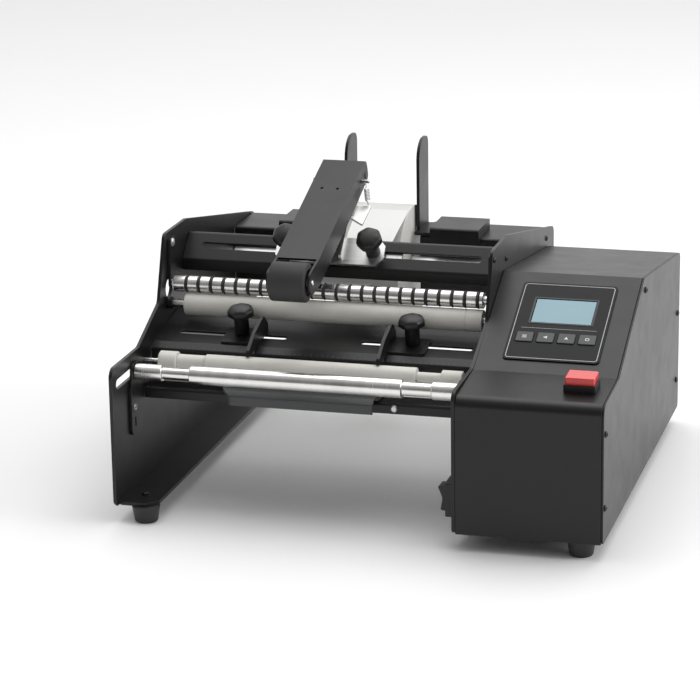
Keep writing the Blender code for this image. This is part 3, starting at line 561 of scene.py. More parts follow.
def side_plates():
    outline = fillet(PLATE_OUTLINE)
    journal = stadium(14.5, 68.5, 121.0, 4.5)
    support = circle(*SUPPORT_AXIS, 2.4, 24)
    window = circle(158.0, 170.0, 9.0)
    left = prism(outline, LEFT_OUTER, LEFT_INNER, "x", (journal, support, window))
    inner = LEFT_OUTER + 36.3
    foot = (
        (LEFT_OUTER + 1.0, 8.0, 0.0),
        (inner - 9.0, 8.0, 3.0),
        (inner, 19.0, 3.0),
        (inner, DEPTH - 10.0, 4.0),
        (LEFT_OUTER + 1.0, DEPTH - 10.0, 0.0),
    )
    fuse(left, prism(fillet(foot), FLOOR, FLOOR + 3.0, "z"))
    section = (
        (LEFT_OUTER, FLOOR, 6.0),
        (0.0, FLOOR, 0.0),
        (0.0, 230.0, 0.0),
        (LEFT_OUTER, 230.0, 0.0),
    )
    combine(left, [prism(fillet(section), -5.0, DEPTH + 5.0, "y")], "INTERSECT")
    piece(left, "left_plate", "frame", "powder_black", replaces=["left_side_plate"], bevel=0.5)
    drive = circle(*DRIVE_AXIS, 4.6)
    rocker = rectangle(11.0, 25.0, 27.5, 51.5)
    right = prism(outline, RIGHT_INNER, RIGHT_OUTER, "x", (journal, support, drive, rocker))
    piece(right, "right_plate", "frame", "powder_black", replaces=["right_side_plate"], bevel=0.5)
    heads = [
        screw_head(RIGHT_OUTER, depth, height, 1.0, 2.6, 1.4)
        for depth, height in ((155.7, 213.0), (205.4, 202.2), (386.2, 176.3))
    ]
    heads += [
        screw_head(BAY_LEFT, 205.0, 190.0, 1.0, 2.6, 1.5),
        screw_head(BAY_LEFT, 396.0, 172.0, 1.0, 2.6, 1.5),
    ]
    heads += [
        screw_head(LEFT_OUTER, depth, height, 0.2, 2.6, 1.4)
        for depth, height in ((205.4, 202.2), (386.2, 176.3))
    ]
    flange_screw = upright_lathe([(15.0, 3.0), (16.2, 3.0), (17.0, 2.0), (17.1, 0.2)], -199.0, 32.0, 24)
    piece(merged(*heads, flange_screw), "plate_screws", "frame", "powder_black", "black_plastic", bevel=0)
    hanger_screw = screw_head(BAY_LEFT + 2.5, 163.0, 212.0, 1.0, 3.8, 1.8)
    piece(hanger_screw, "hanger_screw", "frame", "bright_steel", "zinc", bevel=0)


def feet():
    places = {
        "foot_front_left": (-192.5, 15.0),
        "foot_rear_left": (-192.5, 402.0),
        "foot_front_right": (196.0, 16.0),
        "foot_rear_right": (196.0, 384.0),
    }
    profile = [
        (0.5, 3.2),
        (0.5, 5.5),
        (-2.4, 6.2),
        (-3.0, 6.8),
        (-3.0, 9.0),
        (-2.6, 9.7),
        (-1.8, 10.3),
        (10.2, 12.3),
        (11.3, 12.5),
        (11.7, 12.1),
        (11.7, 3.2),
    ]
    for name, (x, depth) in places.items():
        made = upright_lathe(profile, x, depth, 48, closed=True)
        piece(made, f"{name}_rubber", "frame", "black_rubber", replaces=[name], bevel=0)
        screw = upright_lathe([(0.6, 2.6), (1.6, 3.0), (11.6, 3.0)], x, depth, 24)
        piece(screw, f"{name}_screw", "frame", "zinc", bevel=0)


BAR_CENTRE = (208.85, 198.55)
BAR_TILT = math.atan2(21.9, 23.7)
BAR_SLOT = (-198.7, 66.8)


def on_bar(made):
    return tilt(made, BAR_CENTRE, BAR_TILT)


def slotted_bar():
    path = ((197.0, 177.5), (197.0, 187.6), (220.7, 209.5), (230.0, 201.0))
    bar = prism(bent_sheet(path, 2.5, 4.0), BAY_LEFT, BAY_RIGHT)
    line = stadium(BAR_SLOT[0] + STUD_HOLE, BAR_SLOT[1] - STUD_HOLE, 0.0, STUD_HOLE)
    slot = [(x, s + BAR_CENTRE[0]) for x, s in line]
    cut(bar, on_bar(prism(slot, BAR_CENTRE[1] - 5.0, BAR_CENTRE[1] + 5.0, "z")))
    piece(bar, "cross_bar", "frame", "powder_black", replaces=["slotted_cross_bar"], bevel=0.35)


def rear_shelves():
    path = ((357.0, 122.0), (357.0, 180.0), (418.0, 180.0), (418.0, 168.0))
    section = bent_sheet(path, 2.0, 3.0)
    for side, low, high in (("left", BAY_LEFT, -104.7), ("right", -27.7, BAY_RIGHT)):
        made = prism(section, low, high)
        piece(made, f"shelf_{side}", "frame", "powder_black", replaces=[f"rear_shelf_{side}"])


DECK_FRONT = (111.0, 133.6)
DECK_REAR = (188.0, 146.5)
DECK_TILT = math.atan2(DECK_REAR[1] - DECK_FRONT[1], DECK_REAR[0] - DECK_FRONT[0])
SLOT_DEPTH = 132.0


def deck():
    path = ((103.0, 112.0), (103.0, 128.7), DECK_FRONT, DECK_REAR, (188.0, 130.0))
    plate = prism(bent_sheet(path, 2.0, 3.0), BAY_LEFT, BAY_RIGHT)
    for low, high in ((-192.7, -98.3), (-22.7, 72.7)):
        cut(plate, prism(stadium(low, high, SLOT_DEPTH, STUD_HOLE), 128.0, 148.0, "z"))
    piece(plate, "deck", "frame", "powder_black", replaces=["deck_plate"], bevel=0.35)


def ruler():
    """Printed divisions along the sloping lip at the front of the deck."""
    slope = math.atan2(DECK_FRONT[1] - 128.7, DECK_FRONT[0] - 103.0)
    marks = []
    for i in range(57):
        x = -205.0 + 5.0 * i
        length = 3.6 if i % 2 == 0 else 2.2
        low = 104.6 - 0.4
        made = prism(rectangle(x - 0.22, x + 0.22, low, low + length), 0.05, 0.16, "z")
        made.data.transform(Matrix.Translation(Vector((0.0, 0.0, 128.7)) * MM))
        tilt(made, (103.0, 128.7), slope)
        marks.append(made)
    piece(merged(*marks), "deck_ruler", "frame", "powder_black", "print_faint", bevel=0)


def lower_beam_and_tray():
    channel = ((82.0, 88.5), (82.0, 98.5), (106.0, 98.5), (106.0, 88.5))
    beam = prism(bent_sheet(channel, 2.0, 3.0), BAY_LEFT, BAY_RIGHT)
    piece(beam, "lower_beam", "frame", "powder_black", replaces=["lower_cross_beam"])
    path = ((60.0, 93.6), (60.0, 102.0), (66.0, 106.0), (78.0, 106.0), (84.0, 100.3), (104.0, 100.3))
    tray = prism(bent_sheet(path, 1.5, 2.2), -137.5, 2.5)
    keep = ((-137.5, 59.0, 17.0), (3.0, 59.0, 4.0), (3.0, 110.0, 0.0), (-137.5, 110.0, 0.0))
    combine(tray, [prism(fillet(keep), 85.0, 115.0, "z")], "INTERSECT")
    piece(tray, "tray", "frame", "grey_plastic", "powder_grey", replaces=["front_tray"], bevel=0.4)
    screw = upright_lathe([(0.0, 3.2), (1.1, 3.2), (1.9, 2.2), (2.0, 0.2)], 0.0, 0.0, 24)
    screw.data.transform(Matrix.Rotation(math.radians(90.0), 4, "X"))
    screw.data.transform(Matrix.Translation(Vector((16.6, 82.0, 93.6)) * MM))
    piece(screw, "beam_screw", "frame", "bright_steel", "zinc", bevel=0)


# ---------------------------------------------------------------- rollers


def stepped(steps, edge=0.5):
    """Turned profile from (x0, x1, radius) steps, with a small chamfer on every shoulder."""
    profile = []
    for low, high, radius in steps:
        nip = min(edge, radius * 0.3)
        profile += [(low, radius - nip), (low + nip, radius), (high - nip, radius), (high, radius - nip)]
    return profile


def carriages():
    outline = fillet(
        (
            (41.0, 65.0, 5.0),
            (41.0, 108.0, 5.0),
            (47.0, 129.0, 7.0),
            (63.0, 129.0, 7.0),
            (69.0, 108.0, 5.0),
            (69.0, 65.0, 5.0),
        )
    )
    adjust = upright_stadium(50.0, 73.0, 79.0, 1.7)
    holes = (circle(*FRONT_AXIS, 4.3), circle(48.5, 90.0, 2.5, 24), adjust)
    for side, low, high, face, turn in (
        ("left", BAY_LEFT, BAY_LEFT + 2.2, BAY_LEFT + 2.2, 1.0),
        ("right", BAY_RIGHT - 2.2, BAY_RIGHT, BAY_RIGHT - 2.2, -1.0),
    ):
        made = prism(outline, low, high, "x", holes)
        name = f"carriage_{side}"
        piece(made, f"{name}_plate", "front_carriage", "powder_black", replaces=[name])
        screw = screw_head(face, 48.5, 90.0, turn, 3.6, 1.8)
        piece(screw, f"{name}_screw", "front_carriage", "bright_steel", "zinc", bevel=0)


def front_roller():
    steps = (
        (LEFT_OUTER + 0.5, BAY_LEFT + 2.6, 4.0),
        (BAY_LEFT + 2.6, -186.4, 7.4),
        (-186.4, -160.5, 5.4),
        (-160.5, 31.5, 8.3),
        (31.5, 58.1, 6.3),
        (58.1, BAY_RIGHT - 2.6, 8.0),
        (BAY_RIGHT - 2.6, RIGHT_OUTER - 0.5, 4.0),
    )
    made = lathe(stepped(steps), FRONT_AXIS, 72)
    piece(made, "steel_roller", "front_roller", "bright_steel", replaces=["front_roller"], bevel=0)


def support_roller():
    steps = (
        (-199.1, -182.3, 9.2),
        (-182.3, -156.1, 7.0),
        (-156.1, 36.6, 8.3),
        (36.6, 59.0, 4.6),
        (59.0, 78.0, 7.6),
    )
    made = lathe(stepped(steps, 0.7), SUPPORT_AXIS, 72)
    shaft = lathe(((LEFT_OUTER + 0.5, 2.0), (RIGHT_OUTER - 0.5, 2.0)), SUPPORT_AXIS, 32)
    piece(made, "support_sleeve", "support_roller", "white_rubber", replaces=["support_roller"], bevel=0)
    piece(shaft, "support_shaft", "support_roller", "bright_steel", bevel=0)


def drive_roller():
    made = lathe(stepped(((-196.7, 65.3, 10.0), (65.5, 80.5, 10.0)), 0.5), DRIVE_AXIS, 80)
    shaft = lathe(stepped(((BAY_LEFT, 103.0, 4.0),)), DRIVE_AXIS, 40)
    piece(made, "drive_sleeve", "drive_roller", "white_rubber", replaces=["drive_roller"], bevel=0)
    piece(shaft, "drive_shaft", "drive_roller", "bright_steel", bevel=0)
    ring = (
        (BAY_LEFT, 4.3),
        (BAY_LEFT, 5.5),
        (-209.4, 5.5),
        (-209.0, 5.1),
        (-209.0, 4.3),
    )
    bearing = lathe(ring, DRIVE_AXIS, 48, closed=True)
    piece(bearing, "drive_bearing", "frame", "black_plastic", replaces=["drive_bearing_left"], bevel=0)


def ring_torus(x, axis, radius, wire, segments=56, sides=14):
    profile = [
        (x + wire * math.cos(2.0 * math.pi * i / sides), radius + wire * math.sin(2.0 * math.pi * i / sides))
        for i in range(sides)
    ]
    return lathe(profile, axis, segments, closed=True)


def idler_roller():
    low = -209.0
    high = 80.0
    count = 24
    pitch = 11.81
    profile = [(BAY_LEFT + GAP, 4.0), (low, 4.0), (low, 7.0), (low + 0.5, 7.5)]
    for i in range(count):
        middle = low + 12.5 + pitch * i
        profile += [
            (middle - 1.7, 7.5),
            (middle - 1.35, 7.1),
            (middle - 1.3, 6.2),
            (middle + 1.3, 6.2),
            (middle + 1.35, 7.1),
            (middle + 1.7, 7.5),
        ]
    profile += [(high - 0.5, 7.5), (high, 7.0), (high, 4.0), (BAY_RIGHT - GAP, 4.0)]
    made = lathe(profile, IDLER_AXIS, 64)
    piece(made, "idler_steel", "idler_roller", "bright_steel", replaces=["idler_roller"], bevel=0)
    rings = [ring_torus(low + 12.5 + pitch * i, IDLER_AXIS, 6.7, 1.15) for i in range(count)]
    piece(merged(*rings), "idler_rings", "idler_roller", "black_rubber", bevel=0)


def idler_hangers():
    outline = fillet(
        (
            (156.0, 168.5, 6.0),
            (156.5, 190.0, 12.0),
            (158.0, 216.0, 5.0),
            (176.0, 216.0, 5.0),
            (176.0, 203.0, 5.0),
            (168.5, 190.0, 12.0),
            (168.5, 168.5, 6.0),
        )
    )
    hole = circle(*IDLER_AXIS, 4.3)
    spans = (("left", BAY_LEFT, BAY_LEFT + 2.5), ("right", BAY_RIGHT - 2.5, BAY_RIGHT))
    for side, low, high in spans:
        name = f"idler_hanger_{side}"
        made = prism(outline, low, high, "x", (hole,))
        piece(made, f"{name}_plate", "frame", "powder_black", replaces=[name])


# ---------------------------------------------------------------- knobs and stops


def knob(node, body, x, centre, angle, base, reach):
    """Lobed knob with a domed top, moulded in one with its stem, on a steel stud."""
    stem = 17.0
    top = base + stem
    rings = (
        (base, 5.6, 0.0),
        (base, 6.5, 0.0),
        (base + 0.5, 6.7, 0.0),
        (top - 2.0, 6.5, 0.0),
        (top - 0.6, 7.0, 0.01),
        (top, 9.5, 0.04),
        (top + 0.3, 11.0, 0.055),
        (top + 1.0, 11.7, 0.06),
        (top + 4.6, 11.7, 0.06),
        (top + 6.4, 11.2, 0.058),
        (top + 7.8, 9.6, 0.05),
        (top + 8.9, 6.8, 0.035),
        (top + 9.4, 3.6, 0.01),
        (top + 9.6, 0.6, 0.0),
    )
    lobes = 7
    segments = lobes * 12
    turn = 2.0 * math.pi / segments
    vertices = []
    for level, radius, wave in rings:
        for i in range(segments):
            lobe = math.cos(lobes * turn * i)
            reachout = radius * (1.0 + 0.5 * wave * (lobe - 0.35 * (1.0 - lobe * lobe)))
            across = reachout * math.cos(turn * i)
            along = reachout * math.sin(turn * i)
            vertices.append((x + across, centre[0] + along, centre[1] + level))
    faces = [tuple(range(segments)), tuple(range(len(vertices) - segments, len(vertices)))]
    for ring in range(len(rings) - 1):
        near = ring * segments
        for i in range(segments):
            j = (i + 1) % segments
            faces.append((near + i, near + j, near + segments + j, near + segments + i))
    made = tilt(solid(vertices, faces), centre, angle)
    piece(made, f"{node}_grip", body, "black_plastic", replaces=[node], bevel=0, angle=50.0)
    pitch = 0.7
    thread = []
    level = centre[1] - reach
    while level < centre[1] + base:
        thread += [(level, 2.7), (level + pitch / 2, 3.0)]
        level += pitch
    thread.append((centre[1] + base + 0.4, 2.7))
    stud = tilt(upright_lathe(thread, x, centre[0], 28), centre, angle)
    piece(stud, f"{node}_stud", body, "black_plastic", "zinc", bevel=0)


def bottle_stop(side, blade_x, direction):
    centre = (SLOT_DEPTH, DECK_FRONT[1] + (SLOT_DEPTH - DECK_FRONT[0]) * math.tan(DECK_TILT))
    depth, height = centre
    stud_x = blade_x + direction * 21.0
    low, high = sorted((blade_x, blade_x + direction * 36.0))
    hole = circle(stud_x, depth, STUD_HOLE, 32)
    sole = rectangle(low, high, depth - 20.0, depth + 11.0, 3.0)
    plate = prism(sole, height + GAP, height + 2.3, "z", (hole,))
    blade = fillet(
        (
            (depth - 50.0, height + 3.2, 0.0),
            (depth - 48.0, height + 8.0, 4.0),
            (depth - 26.0, height + 16.5, 12.0),
            (depth + 2.0, height + 20.0, 8.0),
            (depth + 12.0, height + 8.0, 4.0),
            (depth + 11.0, height + GAP, 0.0),
            (depth - 20.0, height + GAP, 0.0),
        )
    )
    low, high = sorted((blade_x, blade_x + direction * 3.0))
    fuse(plate, prism(blade, low, high))
    tilt(plate, centre, DECK_TILT)
    name = f"bottle_stop_{side}"
    piece(plate, f"{name}_blade", f"stop_{side}", "powder_black", replaces=[name], bevel=0.45)
    body = {"left": "stop_knob_a", "right": "stop_knob_b"}[side]
    knob(f"stop_knob_{side}", body, stud_x, centre, DECK_TILT, 2.6, 8.0)


# ---------------------------------------------------------------- pressure arm

ARM_LEFT = -99.7
ARM_RIGHT = -59.7
ARM_MIDDLE = (ARM_LEFT + ARM_RIGHT) / 2.0
ARM_PIVOT = (279.0, 255.0)
WHEEL_AXIS = (95.0, 199.6)
SPRING_PIN = (266.5, 252.4)
EAR_CORNERS = (
    (15.2, 234.0, 226.7),
    (15.2, 252.3, 231.6),
    (29.7, 261.6, 230.5),
    (29.7, 228.8, 221.0),
)
STUDS = {"bracket_knob_left": (-112.7, "bracket_knob_a"), "bracket_knob_right": (-34.0, "bracket_knob_b")}


def bracket_cheek(low, high):
    outline = fillet(
        (
            (201.3, 193.5, 0.0),
            (196.9, 198.3, 3.0),
            (222.0, 222.0, 8.0),
            (262.0, 250.0, 8.0),
            (274.0, 262.0, 6.0),
            (284.0, 262.0, 6.0),
            (284.0, 248.0, 6.0),
            (268.0, 238.0, 6.0),
            (250.0, 226.0, 6.0),
            (224.0, 214.0, 3.0),
            (216.5, 207.5, 0.0),
        )
    )
    return prism(outline, low, high, "x", (circle(*ARM_PIVOT, 3.3),))


def bracket_ear(side):
    """Sloping tab beside the arm that holds the foot of a spring."""
    top = [(ARM_MIDDLE + side * across, depth, height) for across, depth, height in EAR_CORNERS]
    bottom = [(x, depth, height - 2.0) for x, depth, height in top]
    faces = [(0, 1, 2, 3), (7, 6, 5, 4)]
    faces += [(i, (i + 1) % 4, (i + 1) % 4 + 4, i + 4) for i in range(4)]
    return solid(top + bottom, faces)


def arm_bracket():
    depth, height = BAR_CENTRE
    front = ((-125.7, -7.0), (-119.7, -14.0), (-29.7, -14.0), (-23.7, -7.0))
    corners = front + tuple((x, -across) for x, across in reversed(front))
    outline = fillet([(x, depth + across, 1.0) for x, across in corners], steps=3)
    holes = [circle(x, depth, STUD_HOLE, 32) for x, _ in STUDS.values()]
    base = on_bar(prism(outline, height + GAP, height + 3.3, "z", holes))
    left = bracket_cheek(ARM_LEFT + 2.5, ARM_LEFT + 5.0)
    right = bracket_cheek(ARM_RIGHT - 5.0, ARM_RIGHT - 2.5)
    fuse(base, left, right, bracket_ear(-1.0), bracket_ear(1.0))
    piece(base, "bracket", "bracket", "aluminium", replaces=["arm_bracket"], bevel=0.4)
    strip = prism(rectangle(-126.0, -8.0, depth - 5.0, depth + 5.0), height - 5.8, height - 2.8, "z", holes)
    piece(on_bar(strip), "clamp_strip", "bracket", "zinc", replaces=["bracket_clamp_nut"], bevel=0.3)
    for node, (x, body) in STUDS.items():
        knob(node, body, x, BAR_CENTRE, BAR_TILT, 3.6, 8.0)


def arm_flange(low, high):
    outline = fillet(
        (
            (117.0, 214.9, 2.0),
            (282.0, 270.8, 8.0),
            (289.5, 251.5, 5.0),
            (245.0, 234.5, 20.0),
            (121.0, 192.0, 10.0),
            (89.0, 187.5, 9.0),
            (84.5, 208.0, 9.0),
        )
    )
    holes = (circle(*WHEEL_AXIS, 2.8), circle(*ARM_PIVOT, 3.3))
    return prism(outline, low, high, "x", holes)


def pressure_arm():
    slope = math.atan2(56.9, 168.0)
    along = Vector((math.cos(slope), math.sin(slope)))
    under = Vector((along.y, -along.x)) * 2.0
    start = Vector((118.0, 215.2))
    end = start + along * 168.0
    section = [tuple(start), tuple(end), tuple(end + under), tuple(start + under)]
    top = prism(section, ARM_LEFT, ARM_RIGHT)
    left = arm_flange(ARM_LEFT, ARM_LEFT + 2.0)
    right = arm_flange(ARM_RIGHT - 2.0, ARM_RIGHT)
    fuse(top, left, right)
    spot = start + along * 118.0
    for side in (-7.4, 7.4):
        hole = prism(circle(ARM_MIDDLE - 1.0 + side, spot.x, 1.6, 24), spot.y - 8.0, spot.y + 8.0, "z")
        cut(top, hole)
    piece(top, "arm_channel", "arm", "powder_black", replaces=["pressure_arm"], bevel=0.9, segments=4)
    studs = [
        lathe(stepped(((ARM_LEFT - 7.0, ARM_LEFT + 1.0, 1.8),)), SPRING_PIN, 24),
        lathe(stepped(((ARM_RIGHT - 1.0, ARM_RIGHT + 7.0, 1.8),)), SPRING_PIN, 24),
    ]
    piece(merged(*studs), "spring_studs", "arm", "powder_black", "zinc", bevel=0)


def arm_fittings():
    pin = stepped(((-100.4, -59.0, 3.0),))
    made = lathe(pin, ARM_PIVOT, 40)
    piece(made, "pivot_pin", "bracket", "bright_steel", "black_plastic", replaces=["arm_pivot_pin"], bevel=0)
    axle = stepped(((-100.5, -58.9, 2.5),))
    made = lathe(axle, WHEEL_AXIS, 40)
    piece(made, "axle", "arm", "bright_steel", replaces=["wheel_axle"], bevel=0)
    low = -96.2
    high = -63.2
    edge = ((1.5, 2.9), (1.5, 11.0), (0.0, 12.0), (0.0, 16.0), (0.5, 17.0), (1.5, 17.5))
    tyre = [(low + inset, radius) for inset, radius in edge]
    tyre += [(high - inset, radius) for inset, radius in reversed(edge)]
    wheel = lathe(tyre, WHEEL_AXIS, 96, closed=True)
    piece(wheel, "rubber_wheel", "wheel", "black_rubber", replaces=["pressure_wheel"], bevel=0)


# ---------------------------------------------------------------- label roll


def roll_guide(side, face_x, direction):
    """Upright cheek on a foot that hooks over the rear shelf and slides along it."""
    cheek = fillet(
        (
            (367.0, 180.3, 0.0),
            (367.0, 269.8, 20.0),
            (403.5, 269.8, 9.0),
            (403.5, 180.3, 0.0),
        ),
        steps=10,
    )
    low, high = sorted((face_x, face_x + direction * 3.0))
    made = prism(cheek, low, high)
    low, high = sorted((face_x, face_x + direction * 20.0))
    sole = block(low, high, 357.0, 400.0, 180.3, 183.3)
    hook = ((349.0, 177.0, 0.0), (349.0, 190.0, 3.0), (399.0, 190.0, 1.0), (399.0, 180.3, 0.0))
    hook += ((356.7, 180.3, 0.0), (356.7, 177.0, 0.0))
    low, high = sorted((face_x + direction * 17.0, face_x + direction * 65.0))
    fuse(made, sole, prism(fillet(hook), low, high))
    name = f"roll_guide_{side}"
    piece(made, f"{name}_cheek", f"guide_{side}", "powder_black", replaces=[name], bevel=0.5)


def label_roll():
    spindle = lathe(stepped(((BAY_LEFT, BAY_RIGHT, 12.2),)), SPINDLE, 64)
    piece(spindle, "spindle", "frame", "aluminium", replaces=["roll_spindle"], bevel=0)
    low = -99.4
    high = -35.2
    wound = ((low, 15.0), (low, 59.7), (low + 0.3, 60.0), (high - 0.3, 60.0), (high, 59.7), (high, 15.0))
    roll = lathe(wound, SPINDLE, 128, closed=True)
    piece(roll, "wound_labels", "label_roll", "label_paper", "roll_edge", replaces=["label_roll"], bevel=0)
    core = lathe(((low, 12.7), (low, 14.9), (high, 14.9), (high, 12.7)), SPINDLE, 64, closed=True)
    piece(core, "roll_core", "label_roll", "label_paper", "core_card", bevel=0)


# ---------------------------------------------------------------- control box

BOX_LEFT = RIGHT_OUTER + GAP
BOX_PATH = (
    (0.0, FLOOR, 5.0),
    (0.0, 133.8, 10.0),
    (70.5, 137.7, 8.0),
    (194.8, 193.7, 5.0),
    (401.0, 165.6, 5.0),
    (401.0, FLOOR, 5.0),
)
PANEL_FOOT = (70.5, 137.7)
PANEL_TILT = math.atan2(56.0, 124.3)
SHELF_TILT = math.atan2(3.9, 70.5)
PANEL_X = (112.1, 196.8)
PANEL_S = (15.8, 120.7)
SCREEN_X = (128.1, 181.3)
SCREEN_S = (66.5, 98.3)
KEY_X = (126.5, 145.0, 163.4, 181.8)
KEY_S = 45.5
KEY_SIZE = (15.0, 12.8)
BUTTON_AT = (190.8, 40.0, 136.0)
BUTTON_SIZE = (25.4, 20.6)


def on_panel(made):
    return tilt(made, PANEL_FOOT, PANEL_TILT)


def panel_prism(outline, n0, n1, holes=()):
    """Shape drawn as (x, s) up the slope and pushed out of the panel."""
    depth, height = PANEL_FOOT
    moved = [(x, depth + s) for x, s in outline]
    cutouts = [[(x, depth + s) for x, s in hole] for hole in holes]
    return on_panel(prism(moved, height + n0, height + n1, "z", cutouts))


def key_outline(x, margin, radius=1.5):
    half_x = KEY_SIZE[0] / 2.0 + margin
    half_s = KEY_SIZE[1] / 2.0 + margin
    return rectangle(x - half_x, x + half_x, KEY_S - half_s, KEY_S + half_s, radius)


def screen_outline(margin, radius=0.0):
    x0, x1 = SCREEN_X
    s0, s1 = SCREEN_S
    return rectangle(x0 - margin, x1 + margin, s0 - margin, s1 + margin, radius)


def button_prism(margin, n0, n1, radius=1.5, holes=()):
    x, depth, height = BUTTON_AT
    half_x = BUTTON_SIZE[0] / 2.0 + margin
    half_s = BUTTON_SIZE[1] / 2.0 + margin
    outline = rectangle(x - half_x, x + half_x, depth - half_s, depth + half_s, radius)
    return tilt(prism(outline, height + n0, height + n1, "z", holes), (depth, height), SHELF_TILT)


def control_housing():
    high = HALF_WIDTH - 2.0
    shell = prism(bent_sheet(BOX_PATH, 1.5, 5.0), BOX_LEFT, high)
    openings = [panel_prism(screen_outline(0.6), -8.0, 4.0), button_prism(0.6, -6.0, 6.0)]
    openings += [panel_prism(key_outline(x, 0.6), -6.0, 4.0) for x in KEY_X]
    openings.append(block(135.7, 164.3, 395.0, 405.0, 29.7, 50.3))
    cut(shell, *openings)
    piece(shell, "box_shell", "frame", "powder_black", replaces=["control_housing"], bevel=0.35)
    cover = prism(fillet(BOX_PATH), HALF_WIDTH - 1.7, HALF_WIDTH)
    piece(cover, "box_cover", "frame", "powder_black", replaces=["housing_side_cover"], bevel=0.6, segments=3)
    base = block(BOX_LEFT, high, 2.0, 399.0, FLOOR, FLOOR + 2.0)
    piece(base, "box_base", "frame", "powder_black", replaces=["housing_base"], bevel=0.3)


def cover_screws():
    places = ((198.9, 181.7), (386.7, 109.2), (384.7, 43.5), (6.4, 108.2), (6.0, 43.4))
    heads = [screw_head(HALF_WIDTH, depth, height, 1.0, 2.8, 2.0) for depth, height in places]
    piece(merged(*heads), "cover_screws", "frame", "powder_black", "black_plastic", bevel=0)


def key_icon(kind, x):
    """Plain symbols: a bar menu, two arrows and a ring."""
    s = KEY_S
    if kind == "menu":
        shapes = [rectangle(x - 1.9, x + 1.9, s + d - 0.3, s + d + 0.3) for d in (-1.4, 0.0, 1.4)]
    elif kind == "left":
        shapes = [[(x - 2.0, s), (x + 1.4, s - 1.7), (x + 1.4, s + 1.7)]]
    elif kind == "up":
        shapes = [[(x, s + 2.0), (x - 1.7, s - 1.4), (x + 1.7, s - 1.4)]]
    else:
        ring = circle(x, s, 1.9, 32)
        return [panel_prism(ring, 2.2, 2.28, (circle(x, s, 1.25, 32)[::-1],))]
    return [panel_prism(shape, 2.2, 2.28) for shape in shapes]


def panel_parts():
    outline = rectangle(*PANEL_X, *PANEL_S, 4.0, 10)
    holes = [screen_outline(0.5)[::-1]] + [key_outline(x, 0.4)[::-1] for x in KEY_X]
    panel = panel_prism(outline, GAP, 1.2, holes)
    piece(panel, "overlay", "frame", "black_plastic", "overlay", replaces=["keypad_panel"], bevel=0.2)
    x0, x1 = PANEL_X
    s0, s1 = PANEL_S
    outer = rectangle(x0 + 2.0, x1 - 2.0, s0 + 2.0, s1 - 2.0, 3.0, 8)
    inner = rectangle(x0 + 2.7, x1 - 2.7, s0 + 2.7, s1 - 2.7, 2.4, 8)
    line = panel_prism(outer, 1.2, 1.27, (inner[::-1],))
    rule = panel_prism(rectangle(x0 + 9.0, x1 - 9.0, 58.2, 58.6), 1.2, 1.27)
    piece(merged(line, rule), "overlay_border", "frame", "black_plastic", "print_silver", bevel=0)
    bezel = panel_prism(screen_outline(2.2, 1.5), 1.2, 1.5, (screen_outline(0.5)[::-1],))
    piece(bezel, "screen_bezel", "frame", "black_plastic", "black_plastic", bevel=0.1)
    screen = panel_prism(screen_outline(0.0), -7.0, 1.0)
    piece(screen, "screen", "frame", "display_blue", replaces=["display_module"], bevel=0.2)
    icons = ("menu", "left", "up", "ring")
    for number, (x, kind) in enumerate(zip(KEY_X, icons), 1):
        made = panel_prism(key_outline(x, 0.0), -5.0, 2.2)
        key = f"key_{number}"
        piece(made, f"{key}_cap", key, "grey_plastic", replaces=[key], bevel=0.5, segments=3)
        icon = merged(*key_icon(kind, x))
        piece(icon, f"{key}_icon", key, "grey_plastic", "print_white", bevel=0)


def start_button():
    x, depth, height = BUTTON_AT
    half_x = BUTTON_SIZE[0] / 2.0 + 0.4
    half_s = BUTTON_SIZE[1] / 2.0 + 0.4
    hole = rectangle(x - half_x, x + half_x, depth - half_s, depth + half_s, 1.5)
    base = button_prism(1.4, GAP, 6.8, 2.5, (hole[::-1],))
    node = "start_button_base"
    piece(base, "button_base", "frame", "black_plastic", replaces=[node], bevel=0.8, segments=3)
    made = button_prism(0.0, -8.0, 13.0)
    piece(made, "button_cap", "start_button", "button_red", replaces=["start_button"], bevel=1.0, segments=4)


def rocker_switch():
    depth = 18.0
    height = 39.5
    outer = rectangle(depth - 11.0, depth + 11.0, height - 15.5, height + 15.5, 2.0)
    opening = rectangle(depth - 7.0, depth + 7.0, height - 12.0, height + 12.0)
    surround = prism(outer, 79.8, BAY_RIGHT, "x", (opening[::-1],))
    node = "rocker_frame"
    piece(surround, "rocker_surround", "frame", "black_plastic", replaces=[node], bevel=0.7, segments=3)
    section = fillet(
        (
            (74.5, height - 11.0, 1.5),
            (76.5, height, 8.0),
            (72.0, height + 11.0, 1.5),
            (86.0, height + 11.0, 0.0),
            (86.0, height - 11.0, 0.0),
        )
    )
    made = prism(section, depth - 6.6, depth + 6.6, "y")
    piece(made, "rocker_paddle", "rocker", "black_plastic", replaces=["rocker_switch"], bevel=0.4)


def mains_inlet():
    body = block(136.0, 164.0, 378.0, 402.5, 30.0, 50.0)
    lip = prism(rectangle(131.0, 169.0, 26.0, 54.0, 3.0), 401.3, 404.0, "y")
    fuse(body, lip)
    cut(body, prism(rectangle(139.0, 161.0, 33.0, 47.0, 2.0), 386.0, 406.0, "y"))
    piece(body, "inlet_shell", "frame", "black_plastic", replaces=["mains_inlet"], bevel=0.4)
    pins = [
        block(x - 1.0, x + 1.0, 384.0, 399.0, z - 2.0, z + 2.0)
        for x, z in ((144.0, 38.0), (156.0, 38.0), (150.0, 43.0))
    ]
    piece(merged(*pins), "inlet_pins", "frame", "black_plastic", "zinc", bevel=0.2)


